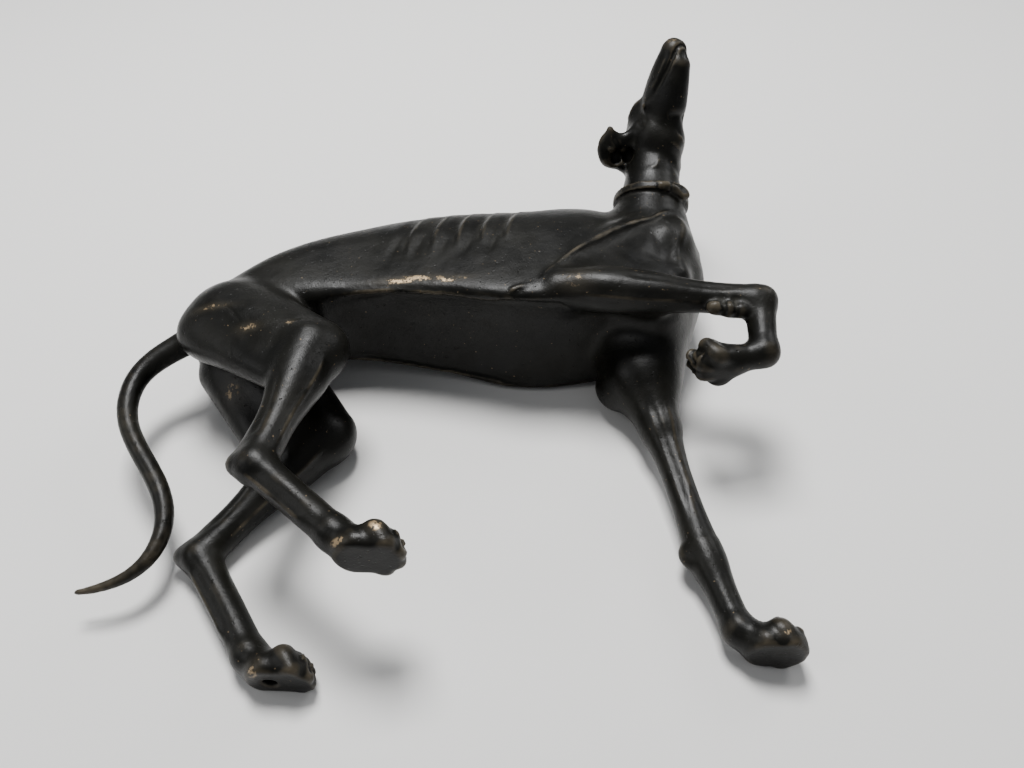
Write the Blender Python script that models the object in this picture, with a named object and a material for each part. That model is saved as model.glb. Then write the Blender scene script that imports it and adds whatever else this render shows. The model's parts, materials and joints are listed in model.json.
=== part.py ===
"""Small cast bronze greyhound, lying on its left side.

Millimetres in the named sizes, metres in the scene. The frame is the table the figure lies on:
X runs from tail to chest, Y from the paws to the back, Z up through the figure's right side.
The form is one casting. It is built as a sculptor builds it: a trunk worked out from a few
sections, limbs laid on a chain of bones, muscles laid over the bones, all run together softly.
"""
import math

import bmesh
import bpy
import numpy as np
from mathutils import Matrix, Vector

MM = 0.001

# Fineness of the form.
GRID_STEP = 1.5
SKIN_STEP = 1.3
TRIANGLES = 9700
SOFT_MUSCLE = 5.0
SOFT_LIMB = 3.0
SOFT_DETAIL = 1.2

# Main sizes. Everything else hangs on these.
BODY_LENGTH = 244.0
CHEST_DEPTH = 91.5
LEG_LENGTH = 140.0
TAIL_LENGTH = 163.0
HEAD_LENGTH = 61.0

# Trunk: places along X from the seat bones, heights along Y, half widths along Z.
REAR_X = -0.54 * BODY_LENGTH
CROUP_X = REAR_X + 0.14 * BODY_LENGTH
LOIN_X = REAR_X + 0.352 * BODY_LENGTH
CHEST_X = REAR_X + 0.656 * BODY_LENGTH
WITHERS_X = REAR_X + 0.828 * BODY_LENGTH
BREAST_X = REAR_X + BODY_LENGTH
BELLY_Y = 4.0
BACK_Y = BELLY_Y + CHEST_DEPTH
RUMP_DROP = 68.5
CROUP_DROP = 35.5
LOIN_DROP = 8.5
WITHERS_RISE = 2.6
BREAST_DROP = 11.5
RUMP_DEPTH = 24.0
PELVIS_DEPTH = 51.0
LOIN_DEPTH = 70.5
BREAST_DEPTH = 72.0
TRUNK_MID_Z = 33.0
PELVIS_HALF_WIDTH = 23.5
LOIN_HALF_WIDTH = 26.0
CHEST_HALF_WIDTH = 33.5
BREAST_HALF_WIDTH = 19.0
BELLY_SQUARE = 9.0
BACK_ROUND = 2.1
BELLY_HOLLOW = 5.5
RIB_COUNT = 5
RIB_SPACING = 12.5
RIB_SLANT = 0.26
RIB_START = 4.0
RIB_RELIEF = 0.8

# Neck, collar and head.
NECK_BASE = (BREAST_X - 13.0, BACK_Y - 23.5, TRUNK_MID_Z + 5.0)
NECK_BASE_RADIUS = 26.5
NECK_LENGTH = 60.0
NECK_TOP_RADIUS = 15.0
NECK_TURN = (0.12, 0.89, 0.44)
HEAD_TURN = (0.13, 0.32, 0.93)
THROAT_SIDE = (0.55, -0.80, 0.20)
SKULL_LENGTH = 15.5
SKULL_RADIUS = 17.5
CHEEK_RADIUS = 14.6
MUZZLE_RADIUS = 10.4
JAW_RADIUS = 8.4
NOSE_RADIUS = 7.2
EAR_LENGTH = 10.4
EAR_WIDTH = 7.6
EAR_THICKNESS = 4.0
EAR_REACH = 13.0
EAR_HOLLOW = 3.6
COLLAR_RADIUS = 19.2
COLLAR_WIDTH = 4.6
COLLAR_THICKNESS = 1.8
COLLAR_RISE = 30.0
BUCKLE_SIZE = 4.0

# Left fore leg, the straight one.
LEFT_SHOULDER = (BREAST_X - 10.0, 48.0, 22.0)
LEFT_ELBOW = (BREAST_X - 22.0, -4.0, 20.0)
LEFT_FOREARM = 0.657 * LEG_LENGTH
LEFT_FOREARM_TURN = (0.168, -0.985, -0.09)
LEFT_PASTERN = 0.268 * LEG_LENGTH
LEFT_PASTERN_TURN = (0.225, -0.965, -0.02)
SHOULDER_RADIUS = 21.0
LEFT_ELBOW_RADIUS = 17.0
FOREARM_RADIUS = 7.0
WRIST_RADIUS = 8.2
PASTERN_RADIUS = 6.0
WRIST_PAD = 3.4
ELBOW_POINT = 7.5

# Right fore leg, raised and bent at the wrist.
RIGHT_ELBOW = (WITHERS_X - 22.0, 15.0, 62.0)
RIGHT_FOREARM = 0.65 * LEG_LENGTH
RIGHT_FOREARM_TURN = (0.975, -0.19, 0.06)
RIGHT_FOREARM_RADIUS = 10.6
RIGHT_PASTERN = 0.193 * LEG_LENGTH
RIGHT_PASTERN_TURN = (-0.09, -0.97, -0.22)
RIGHT_PAW_TURN = (-0.97, -0.05, -0.20)
RIGHT_PAW_LENGTH = 34.0
CREST_RADIUS = 7.6
UPPER_ARM_RADIUS = 14.0

# Hind legs.
LEFT_HIP = (REAR_X + 28.0, 8.0, 17.0)
RIGHT_HIP = (REAR_X + 26.0, 8.0, 45.0)
LEFT_STIFLE = (REAR_X + 67.5, -36.0, 13.5)
RIGHT_STIFLE = (REAR_X + 68.0, -20.0, 54.0)
THIGH_RADIUS = 24.5
THIGH_FLATNESS = 0.74
STIFLE_RADIUS = 17.0
CALF_RADIUS = 12.5
SHIN_RADIUS = 8.2
HOCK_RADIUS = 7.8
HOCK_POINT = 8.0
LEFT_SHIN = 0.529 * LEG_LENGTH
LEFT_SHIN_TURN = (-0.55, -0.83, -0.07)
RIGHT_SHIN = 0.471 * LEG_LENGTH
RIGHT_SHIN_TURN = (-0.145, -0.985, 0.03)
HIND_PASTERN_RADIUS = 6.6
LEFT_HIND_PASTERN = 0.371 * LEG_LENGTH
LEFT_HIND_PASTERN_TURN = (0.58, -0.812, -0.01)
RIGHT_HIND_PASTERN = 0.322 * LEG_LENGTH
RIGHT_HIND_PASTERN_TURN = (0.75, -0.63, -0.05)

# Paws.
PAW_LENGTH = 29.0
PAW_RADIUS = 7.4
PAW_SPREAD = 5.3
TOE_RADIUS = 3.9
SOLE_DROP = 10.5
SOLE_AHEAD = 9.0
SOLE_PRESS = 3.6
PIN_HOLE_AHEAD = 10.5
LEFT_FORE_PAW_TURN = (0.985, -0.05, 0.0)
LEFT_HIND_PAW_TURN = (0.985, -0.05, 0.0)
RIGHT_HIND_PAW_TURN = (0.985, 0.0, -0.10)
SOLE_EDGE = 0.4
FLAT_CATCH = 0.45
PIN_HOLE_RADIUS = 2.8
PIN_HOLE_DEPTH = 9.0

# Tail: headings on the table in degrees from its root over its bends to its tip.
TAIL_ROOT = (REAR_X + 5.8, 9.0, 37.0)
TAIL_ROOT_RADIUS = 6.6
TAIL_MIDDLE_RADIUS = 4.6
TAIL_TIP_RADIUS = 1.3
TAIL_FALL = -0.135
TAIL_HEADINGS = (217.0, 222.0, 264.0, 302.0, 299.0, 258.0, 205.0, 184.0)
TAIL_BENDS = (0.0, 0.12, 0.25, 0.42, 0.63, 0.78, 0.90, 1.0)


def vec(values):
    """A point or direction as a numpy array."""
    return np.asarray(values, dtype=float)


def unit(values):
    """The same direction, one long."""
    values = vec(values)
    return values / np.linalg.norm(values)


def along(start, turn, length):
    """The point that lies a length away from another in a direction."""
    return vec(start) + unit(turn) * length


def ease(keys, values, where):
    """A smooth curve through a few named sizes (Hermite, no overshoot at the ends)."""
    keys, values = vec(keys), vec(values)
    slopes = np.gradient(values, keys)
    where = np.clip(where, keys[0], keys[-1])
    cell = np.clip(np.searchsorted(keys, where) - 1, 0, len(keys) - 2)
    span = keys[cell + 1] - keys[cell]
    t = (where - keys[cell]) / span
    first = (1 + 2 * t) * (1 - t) ** 2 * values[cell] + t * (1 - t) ** 2 * span * slopes[cell]
    second = t * t * (3 - 2 * t) * values[cell + 1] + t * t * (t - 1) * span * slopes[cell + 1]
    return first + second


class Clay:
    """A block of distance values; masses are pressed on to it and softly run together."""

    def __init__(self, low, high, step):
        self.low = vec(low)
        self.high = vec(high)
        self.step = step
        counts = [int(math.ceil((b - a) / step)) + 1 for a, b in zip(low, high)]
        self.axes = [a + step * np.arange(n) for a, n in zip(low, counts)]
        self.field = np.full(counts, 40.0)

    def window(self, low, high, margin):
        """The part of the block round a mass, and its points."""
        cut = []
        for axis, a, b in zip(self.axes, low, high):
            first = max(int((a - margin - axis[0]) / self.step), 0)
            last = min(int((b + margin - axis[0]) / self.step) + 2, len(axis))
            cut.append(slice(first, max(last, first + 1)))
        grid = np.meshgrid(*[axis[c] for axis, c in zip(self.axes, cut)], indexing="ij")
        return tuple(cut), np.stack(grid, axis=-1)

    def add(self, cut, distance, soft):
        """Run a mass together with what is there."""
        there = self.field[cut]
        blend = np.maximum(soft - np.abs(there - distance), 0.0) / soft
        self.field[cut] = np.minimum(there, distance) - blend * blend * soft * 0.25

    def carve(self, cut, distance, soft):
        """Take a mass away from what is there."""
        there = self.field[cut]
        blend = np.maximum(soft - np.abs(there + distance), 0.0) / soft
        self.field[cut] = np.maximum(there, -distance) + blend * blend * soft * 0.25

    def bone(self, start, end, start_radius, end_radius, soft, flat=None, ratio=1.0, take=False):
        """A rounded tapering rod, pressed flat by a ratio along one direction if asked."""
        start, end = vec(start), vec(end)
        reach = max(start_radius, end_radius) * max(ratio, 1.0)
        cut, points = self.window(np.minimum(start, end) - reach,
                                  np.maximum(start, end) + reach, soft + 3.0)
        offset = points - start
        axis = end - start
        share = np.clip((offset @ axis) / (axis @ axis), 0.0, 1.0)
        rest = offset - share[..., None] * axis
        if flat is not None:
            side = unit(flat)
            height = rest @ side
            rest = rest + (height / ratio - height)[..., None] * side
        distance = np.linalg.norm(rest, axis=-1) - (start_radius + share * (end_radius - start_radius))
        if take:
            self.carve(cut, distance, soft)
        else:
            self.add(cut, distance, soft)

    def chain(self, points, radii, soft):
        """Rods end to end, run together with the rest as one."""
        points, radii = rounded([vec(p) for p in points], radii)
        reach = max(radii)
        cut, there = self.window(np.min(points, axis=0) - reach, np.max(points, axis=0) + reach, soft + 3.0)
        nearest = np.full(there.shape[:-1], 1e3)
        girth = np.zeros(there.shape[:-1])
        for start, end, first, last in zip(points, points[1:], radii, radii[1:]):
            offset = there - start
            axis = end - start
            share = np.clip((offset @ axis) / (axis @ axis), 0.0, 1.0)
            rest = np.linalg.norm(offset - share[..., None] * axis, axis=-1)
            closer = rest < nearest
            nearest = np.where(closer, rest, nearest)
            girth = np.where(closer, first + share * (last - first), girth)
        self.add(cut, nearest - girth, soft)

    def egg(self, centre, radii, long_way, wide_way, soft, take=False):
        """An egg-shaped mass: radii along its long way, its wide way and across both."""
        centre = vec(centre)
        first = unit(long_way)
        third = unit(np.cross(first, vec(wide_way)))
        second = np.cross(third, first)
        reach = max(radii)
        cut, points = self.window(centre - reach, centre + reach, soft + 3.0)
        offset = points - centre
        local = np.stack([offset @ first, offset @ second, offset @ third], axis=-1)
        radii = vec(radii)
        near = np.linalg.norm(local / radii, axis=-1)
        slope = np.linalg.norm(local / radii ** 2, axis=-1)
        distance = near * (near - 1.0) / np.maximum(slope, 1e-6)
        if take:
            self.carve(cut, distance, soft)
        else:
            self.add(cut, distance, soft)

    def ring(self, centre, way, radius, width, thickness, soft):
        """A flat band round a neck."""
        centre, way = vec(centre), unit(way)
        reach = radius + width
        cut, points = self.window(centre - reach, centre + reach, soft + 3.0)
        offset = points - centre
        height = offset @ way
        out = np.linalg.norm(offset - height[..., None] * way, axis=-1) - radius
        inside = np.stack([np.abs(height) - width / 2, np.abs(out) - thickness / 2], axis=-1)
        distance = (np.linalg.norm(np.maximum(inside, 0.0), axis=-1)
                    + np.minimum(inside.max(axis=-1), 0.0) - 0.6)
        self.add(cut, distance, soft)

    def above(self, point, way, low, high, soft):
        """Cut a mass off flat: what lies past a plane inside a window goes."""
        cut, points = self.window(low, high, 0.0)
        distance = (points - vec(point)) @ unit(way)
        self.carve(cut, -distance, soft)

    def skin(self):
        """The surface of the block as points and four-sided faces."""
        field = self.field
        inside = field < 0.0
        cells = tuple(n - 1 for n in field.shape)
        total = np.zeros(cells + (3,))
        count = np.zeros(cells)
        for axis in range(3):
            others = [a for a in range(3) if a != axis]
            for i in (0, 1):
                for j in (0, 1):
                    here = [slice(None)] * 3
                    there = [slice(None)] * 3
                    here[axis], there[axis] = slice(0, -1), slice(1, None)
                    for other, shift in zip(others, (i, j)):
                        piece = slice(shift, shift + cells[other])
                        here[other], there[other] = piece, piece
                    a, b = field[tuple(here)], field[tuple(there)]
                    cross = inside[tuple(here)] != inside[tuple(there)]
                    gap = np.where(cross, a - b, 1.0)
                    share = np.where(cross, a / gap, 0.0)
                    total[..., axis] += share
                    for other, shift in zip(others, (i, j)):
                        total[..., other] += cross * shift
                    count += cross
        live = count > 0
        number = np.full(cells, -1)
        number[live] = np.arange(int(live.sum()))
        corner = np.argwhere(live)
        points = self.low + (corner + total[live] / count[live][:, None]) * self.step
        faces = []
        for axis in range(3):
            one, two = (axis + 1) % 3, (axis + 2) % 3
            here = [slice(1, -1)] * 3
            here[axis] = slice(0, -1)
            there = [slice(1, -1)] * 3
            there[axis] = slice(1, None)
            for solid in (True, False):
                a, b = inside[tuple(here)], inside[tuple(there)]
                hits = np.argwhere((a != b) & (a == solid))
                base = hits + 1
                base[:, axis] -= 1
                ring = []
                for back_one, back_two in ((1, 1), (0, 1), (0, 0), (1, 0)):
                    cell = base.copy()
                    cell[:, one] -= back_one
                    cell[:, two] -= back_two
                    ring.append(number[cell[:, 0], cell[:, 1], cell[:, 2]])
                quad = np.stack(ring, axis=1)
                faces.append(quad if solid else quad[:, ::-1])
        return points, np.concatenate(faces)


def rounded(points, radii, steps=4):
    """The same limb with its bends rounded: a curve through the places and the radii."""
    if len(points) < 3 or len(points) > 12:
        return points, list(radii)
    rows = [np.append(p, r) for p, r in zip(points, radii)]
    rows = [2 * rows[0] - rows[1]] + rows + [2 * rows[-1] - rows[-2]]
    out = []
    for a, b, c, d in zip(rows, rows[1:], rows[2:], rows[3:]):
        for t in np.arange(steps) / steps:
            out.append(0.5 * (2 * b + (c - a) * t + (2 * a - 5 * b + 4 * c - d) * t * t
                              + (3 * b - a - 3 * c + d) * t ** 3))
    out.append(rows[-2])
    return [row[:3] for row in out], [row[3] for row in out]


def trunk(clay):
    """Rib cage, tucked loin and pelvis from sections along X."""
    front_end = BREAST_X + 12.0
    ribs_x = (LOIN_X + CHEST_X) / 2
    keys = (REAR_X, CROUP_X, LOIN_X, ribs_x, CHEST_X, WITHERS_X, BREAST_X, front_end)
    top = (BACK_Y - RUMP_DROP, BACK_Y - CROUP_DROP, BACK_Y - LOIN_DROP, BACK_Y - LOIN_DROP / 2 + 3.0,
           BACK_Y, BACK_Y + WITHERS_RISE, BACK_Y - BREAST_DROP, BACK_Y - BREAST_DROP - 9.0)
    depth = (RUMP_DEPTH, PELVIS_DEPTH, LOIN_DEPTH, (LOIN_DEPTH + CHEST_DEPTH) / 2 + 1.2, CHEST_DEPTH,
             CHEST_DEPTH, BREAST_DEPTH, BREAST_DEPTH * 0.5)
    width = (PELVIS_HALF_WIDTH * 0.6, PELVIS_HALF_WIDTH, LOIN_HALF_WIDTH, CHEST_HALF_WIDTH * 0.9,
             CHEST_HALF_WIDTH, CHEST_HALF_WIDTH * 0.97, BREAST_HALF_WIDTH, BREAST_HALF_WIDTH * 0.5)
    reach = 8.0
    cut, points = clay.window((REAR_X - reach, BELLY_Y - 4 * reach, 0.0),
                              (front_end + reach, BACK_Y + reach, 2.0 * TRUNK_MID_Z + reach), reach)
    x, y, z = points[..., 0], points[..., 1], points[..., 2]
    high = ease(keys, top, x)
    half = ease(keys, depth, x) / 2
    wide = ease(keys, width, x)
    up = (y - (high - half)) / half
    side = (z - TRUNK_MID_Z) / wide
    # Round over the back, square below, so that an edge runs along each side of the belly.
    square = ease((REAR_X, CROUP_X, LOIN_X, WITHERS_X, BREAST_X),
                  (2.2, 3.0, BELLY_SQUARE, BELLY_SQUARE, 2.4), x)
    power = np.where(up < 0.0, square, BACK_ROUND)
    radius = (np.abs(up) ** power + np.abs(side) ** power) ** (1.0 / power)
    distance = (radius - 1.0) * np.minimum(half, wide)
    # The underside is hollow between its two edges.
    under = np.clip(-up, 0.0, 1.2) ** 6 * np.clip(1.0 - side * side * 1.3, 0.0, 1.0)
    share = ease((LOIN_X - 20.0, LOIN_X, WITHERS_X, WITHERS_X + 25.0), (0.0, 1.0, 1.0, 0.0), x)
    distance = distance + BELLY_HOLLOW * under * share
    # Ribs show as low slanting waves on both flanks.
    lean = (y - BACK_Y * 0.63) * RIB_SLANT
    phase = (x - LOIN_X - RIB_START - lean) / RIB_SPACING
    along_ribs = np.clip(phase, 0.0, 1.0) * np.clip(RIB_COUNT + 1.0 - phase, 0.0, 1.0)
    band = np.exp(-((up - 0.15) / 0.5) ** 4)
    distance = distance + RIB_RELIEF * np.abs(np.cos(np.pi * phase)) ** 6 * along_ribs * band
    ends = np.maximum(REAR_X - x, x - front_end)
    distance = np.where(ends > 0.0, np.maximum(distance, 0.0) + ends, distance)
    clay.add(cut, distance, SOFT_LIMB)


class HeadFrame:
    """Places in the head: along the muzzle, up to the crown and across to the ears."""

    def __init__(self):
        self.top = along(NECK_BASE, NECK_TURN, NECK_LENGTH)
        self.way = unit(HEAD_TURN)
        throat = unit(THROAT_SIDE)
        throat = unit(throat - (throat @ self.way) * self.way)
        self.crown = -throat
        self.across = np.cross(self.way, self.crown)

    def at(self, ahead, up, side=0.0):
        """A place in the head; ahead is a share of the head's length."""
        return self.top + self.way * ahead * HEAD_LENGTH + self.crown * up + self.across * side


def neck_and_head(clay):
    """Neck, skull, muzzle, ears and the collar cast round the neck."""
    head = HeadFrame()
    waist = along(NECK_BASE, NECK_TURN, NECK_LENGTH * 0.62)
    clay.chain((NECK_BASE, waist, head.top),
               (NECK_BASE_RADIUS, NECK_TOP_RADIUS * 1.08, NECK_TOP_RADIUS), SOFT_MUSCLE * 1.6)
    clay.egg(head.at(0.17, 3.5), (SKULL_LENGTH, CHEEK_RADIUS, SKULL_RADIUS), head.way, head.across,
             SOFT_LIMB)
    # Upper muzzle to the nose, lower jaw a little shorter.
    clay.chain((head.at(0.26, 2.5), head.at(0.50, 3.4), head.at(0.74, 2.8), head.at(0.90, 2.2)),
               (CHEEK_RADIUS * 0.74, MUZZLE_RADIUS * 1.05, MUZZLE_RADIUS * 0.90, NOSE_RADIUS), SOFT_LIMB)
    clay.egg(head.at(0.15, -7.5), (11.0, 10.5, 8.5), head.way, head.across, SOFT_LIMB)
    clay.chain((head.at(0.28, -4.6), head.at(0.50, -4.2), head.at(0.80, -3.6)),
               (JAW_RADIUS * 0.92, JAW_RADIUS, JAW_RADIUS * 0.74), SOFT_LIMB)
    clay.egg(head.at(0.95, 4.2), (4.0, 4.6, 3.6), head.way, head.across, SOFT_DETAIL)
    for side in (-1.0, 1.0):
        clay.egg(head.at(0.17, -1.0, side * 7.5), (10.0, 6.5, 8.0), head.way, head.across, SOFT_LIMB)
        clay.egg(head.at(0.32, 13.0, side * 5.0), (9.5, 5.0, 6.5), head.way, head.across, SOFT_LIMB)
        clay.egg(head.at(0.44, 4.0, side * 10.5), (3.4, 2.4, 2.6), head.way, head.across, SOFT_DETAIL)
        ear(clay, head, side)
    collar = along(NECK_BASE, NECK_TURN, COLLAR_RISE)
    clay.ring(collar, NECK_TURN, COLLAR_RADIUS, COLLAR_WIDTH, COLLAR_THICKNESS, SOFT_DETAIL)
    buckle = collar + unit((0.75, -0.35, 0.70)) * COLLAR_RADIUS
    clay.egg(buckle, (BUCKLE_SIZE * 1.6, BUCKLE_SIZE, BUCKLE_SIZE * 0.6), (0.6, -0.5, -0.2), NECK_TURN,
             SOFT_DETAIL)


def ear(clay, head, side):
    """A rose ear: a fan folded back from the skull, hollow under its front flap."""
    lean = unit(head.across * side * 0.80 + head.crown * 0.42 - head.way * 0.12)
    root = head.at(0.06, 6.0, side * 11.5)
    middle = root + lean * EAR_REACH
    clay.bone(root, middle, EAR_WIDTH * 0.8, EAR_THICKNESS * 0.8, SOFT_LIMB, head.crown, 0.7)
    clay.egg(middle, (EAR_LENGTH, EAR_WIDTH, EAR_THICKNESS), head.way + lean * 0.18, lean, SOFT_DETAIL)
    # The front fold climbs from the flap to the temple.
    clay.bone(root + head.way * EAR_LENGTH * 0.9, middle + head.way * EAR_LENGTH * 0.1, 3.0, 3.6, SOFT_LIMB)
    clay.bone(middle, middle + head.way * EAR_LENGTH * 1.02 + lean * 2.4, EAR_THICKNESS, 2.0, SOFT_DETAIL)
    clay.bone(middle - head.way * EAR_LENGTH * 0.5, head.at(-0.12, 5.0, side * 10.0), 3.2, 5.0, SOFT_LIMB)
    low = middle - head.way * EAR_LENGTH * 0.30 - head.crown * EAR_THICKNESS * 0.95
    for inward in (0.20, 1.10):
        clay.egg(low - lean * EAR_WIDTH * inward, (EAR_HOLLOW * 1.15, EAR_HOLLOW * 0.9, EAR_HOLLOW),
                 head.way, lean, SOFT_DETAIL, True)


def paw(clay, wrist, turn, down, length):
    """Pad and four toes ahead of a wrist or hock, cut off flat at the sole.

    Returns the sole's point, its outward way, the paw's way and half of its reach.
    """
    turn = unit(turn)
    down = vec(down) - (vec(down) @ turn) * turn
    down = unit(down)
    across = unit(np.cross(turn, down))
    drop = SOLE_DROP - PAW_RADIUS
    heel = vec(wrist) + down * (drop + SOLE_PRESS) + turn * SOLE_AHEAD
    clay.bone(wrist, heel, HIND_PASTERN_RADIUS, PAW_RADIUS, SOFT_LIMB, across, 1.15)
    clay.bone(heel, heel + turn * length * 0.34, PAW_RADIUS, PAW_RADIUS, SOFT_LIMB, across, 1.45)
    for toe, reach in ((-1.5, 0.80), (-0.5, 0.95), (0.5, 0.95), (1.5, 0.80)):
        side = across * toe * PAW_SPREAD
        back = wrist + turn * length * 0.42 + side * 0.7 + down * (SOLE_DROP - 7.2)
        knuckle = wrist + turn * length * (reach - 0.26) + side * 0.95 + down * (SOLE_DROP - 7.3)
        tip = wrist + turn * (length * reach - TOE_RADIUS) + side + down * (SOLE_DROP - 2.6)
        clay.chain((back, knuckle, tip), (TOE_RADIUS * 1.05, TOE_RADIUS * 1.2, TOE_RADIUS), SOFT_DETAIL)
    sole = vec(wrist) + down * SOLE_DROP
    reach = np.abs(turn) * length + np.abs(across) * PAW_RADIUS * 2.2
    clay.above(sole, down, sole - reach - np.abs(down) * PAW_RADIUS * 1.2, sole + reach, SOLE_EDGE)
    return sole, down, turn, reach


def fore_legs(clay):
    """The straight left fore leg and the raised right one. Returns the soles."""
    places = [along(LEFT_ELBOW, LEFT_FOREARM_TURN, LEFT_FOREARM * share)
              for share in (0.0, 0.16, 0.34, 0.55, 0.8, 0.96)]
    wrist = along(LEFT_ELBOW, LEFT_FOREARM_TURN, LEFT_FOREARM)
    fetlock = along(wrist, LEFT_PASTERN_TURN, LEFT_PASTERN)
    clay.bone(LEFT_SHOULDER, LEFT_ELBOW, SHOULDER_RADIUS, LEFT_ELBOW_RADIUS, SOFT_MUSCLE * 2.4)
    clay.egg((BREAST_X + 3.0, 50.0, TRUNK_MID_Z + 8.0), (15.0, 9.0, 10.0), (0.1, 1.0, 0.1), (1.0, 0.0, 0.0),
             SOFT_MUSCLE)
    point = vec(LEFT_ELBOW) + vec((-2.0, -0.3, -1.1)) * ELBOW_POINT
    clay.egg(point, (ELBOW_POINT * 1.3, ELBOW_POINT * 0.9, ELBOW_POINT * 0.9), (0.3, -0.9, 0.0),
             (1.0, 0.3, 0.0), SOFT_LIMB)
    places += [wrist, along(wrist, LEFT_PASTERN_TURN, 9.0), along(wrist, LEFT_PASTERN_TURN, 20.0), fetlock]
    radii = (LEFT_ELBOW_RADIUS, 13.5, 9.6, FOREARM_RADIUS, FOREARM_RADIUS * 0.95, WRIST_RADIUS * 0.92,
             WRIST_RADIUS, WRIST_RADIUS * 0.98, PASTERN_RADIUS * 1.08, PASTERN_RADIUS)
    upper = [along(LEFT_ELBOW, LEFT_FOREARM_TURN, -0.32 * LEFT_FOREARM)] + places[:3]
    clay.chain(upper, (SHOULDER_RADIUS * 0.75,) + radii[:3], SOFT_MUSCLE * 2.0)
    clay.chain(places[2:], radii[2:], SOFT_LIMB)
    clay.egg(wrist + (-7.2, -5.0, 0.0), (WRIST_PAD * 1.4, WRIST_PAD, WRIST_PAD), (0.2, -1.0, 0.0),
             (1.0, 0.0, 0.0), SOFT_DETAIL)
    soles = [paw(clay, fetlock, LEFT_FORE_PAW_TURN, (0.0, -1.0, 0.0), PAW_LENGTH * 0.90)]

    elbow = vec(RIGHT_ELBOW)
    # Upper arm: a crest along the back of it and a fuller mass to the point of the shoulder.
    shoulder = (BREAST_X - 6.0, BACK_Y - 33.0, TRUNK_MID_Z + 17.0)
    clay.bone(shoulder, elbow + (4.0, 2.0, -7.0), UPPER_ARM_RADIUS, UPPER_ARM_RADIUS * 0.6, SOFT_MUSCLE)
    crest = [elbow + (-4.0, 5.0, -4.0), elbow + (5.0, 18.0, -2.0), elbow + (19.0, 32.0, -2.0),
             elbow + (35.0, 46.0, -4.0), elbow + (51.0, 57.0, -8.0), elbow + (64.0, 56.0, -16.0)]
    clay.chain(crest, [CREST_RADIUS * share for share in (0.8, 0.85, 0.95, 1.0, 1.05, 1.1)], SOFT_LIMB)
    clay.bone(crest[-1], elbow + (60.0, 22.0, -12.0), CREST_RADIUS, CREST_RADIUS * 0.9, SOFT_MUSCLE)
    wrist = along(elbow, RIGHT_FOREARM_TURN, RIGHT_FOREARM)
    fetlock = along(wrist, RIGHT_PASTERN_TURN, RIGHT_PASTERN)
    places = [along(elbow, RIGHT_FOREARM_TURN, RIGHT_FOREARM * share)
              for share in (0.0, 0.2, 0.45, 0.72, 0.94, 1.0)]
    girths = (0.74, 1.0, 0.93, 0.66, 0.72, 0.64)
    radii = [RIGHT_FOREARM_RADIUS * girth for girth in girths]
    clay.chain(places, radii, SOFT_MUSCLE)
    clay.bone(wrist, fetlock, radii[-1], PASTERN_RADIUS * 0.95, SOFT_MUSCLE)
    for ahead, fall, size in ((-21.0, -5.5, 3.4), (-14.5, -6.5, 3.9), (-10.0, -7.5, 3.0)):
        clay.egg(wrist + (ahead, fall, 1.0), (size * 1.2, size * 0.8, size), (1.0, -0.1, 0.0), (0.0, 1.0, 0.0),
                 SOFT_LIMB)
    raised_paw(clay, fetlock)
    return soles


def raised_paw(clay, fetlock):
    """The curled-back paw of the raised leg, its toes clenched."""
    turn = unit(RIGHT_PAW_TURN)
    across = unit(np.cross(turn, (0.0, -1.0, 0.0)))
    palm = fetlock + turn * RIGHT_PAW_LENGTH * 0.40 + vec((0.0, -1.5, 0.0))
    end = palm + turn * 7.0 + vec((0.0, 2.0, 0.0))
    clay.chain((fetlock, palm, end), (PASTERN_RADIUS * 0.95, PASTERN_RADIUS * 1.05, PAW_RADIUS * 0.95),
               SOFT_MUSCLE)
    clay.bone(palm, end, PAW_RADIUS * 0.75, PAW_RADIUS * 0.9, SOFT_LIMB, across, 1.3)
    for toe, reach in ((-1.5, 0.82), (-0.5, 0.98), (0.5, 0.98), (1.5, 0.82)):
        side = across * toe * PAW_SPREAD * 0.9
        back = fetlock + turn * RIGHT_PAW_LENGTH * 0.45 + side * 0.6 + vec((0.0, -3.6, 0.0))
        knuckle = fetlock + turn * RIGHT_PAW_LENGTH * (reach - 0.22) + side * 0.95 + vec((0.0, -3.2, 0.0))
        tip = fetlock + turn * (RIGHT_PAW_LENGTH * reach - TOE_RADIUS) + side + vec((0.0, 2.8, 0.0))
        clay.chain((back, knuckle, tip), (TOE_RADIUS * 0.85, TOE_RADIUS * 1.1, TOE_RADIUS), SOFT_DETAIL)


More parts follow.
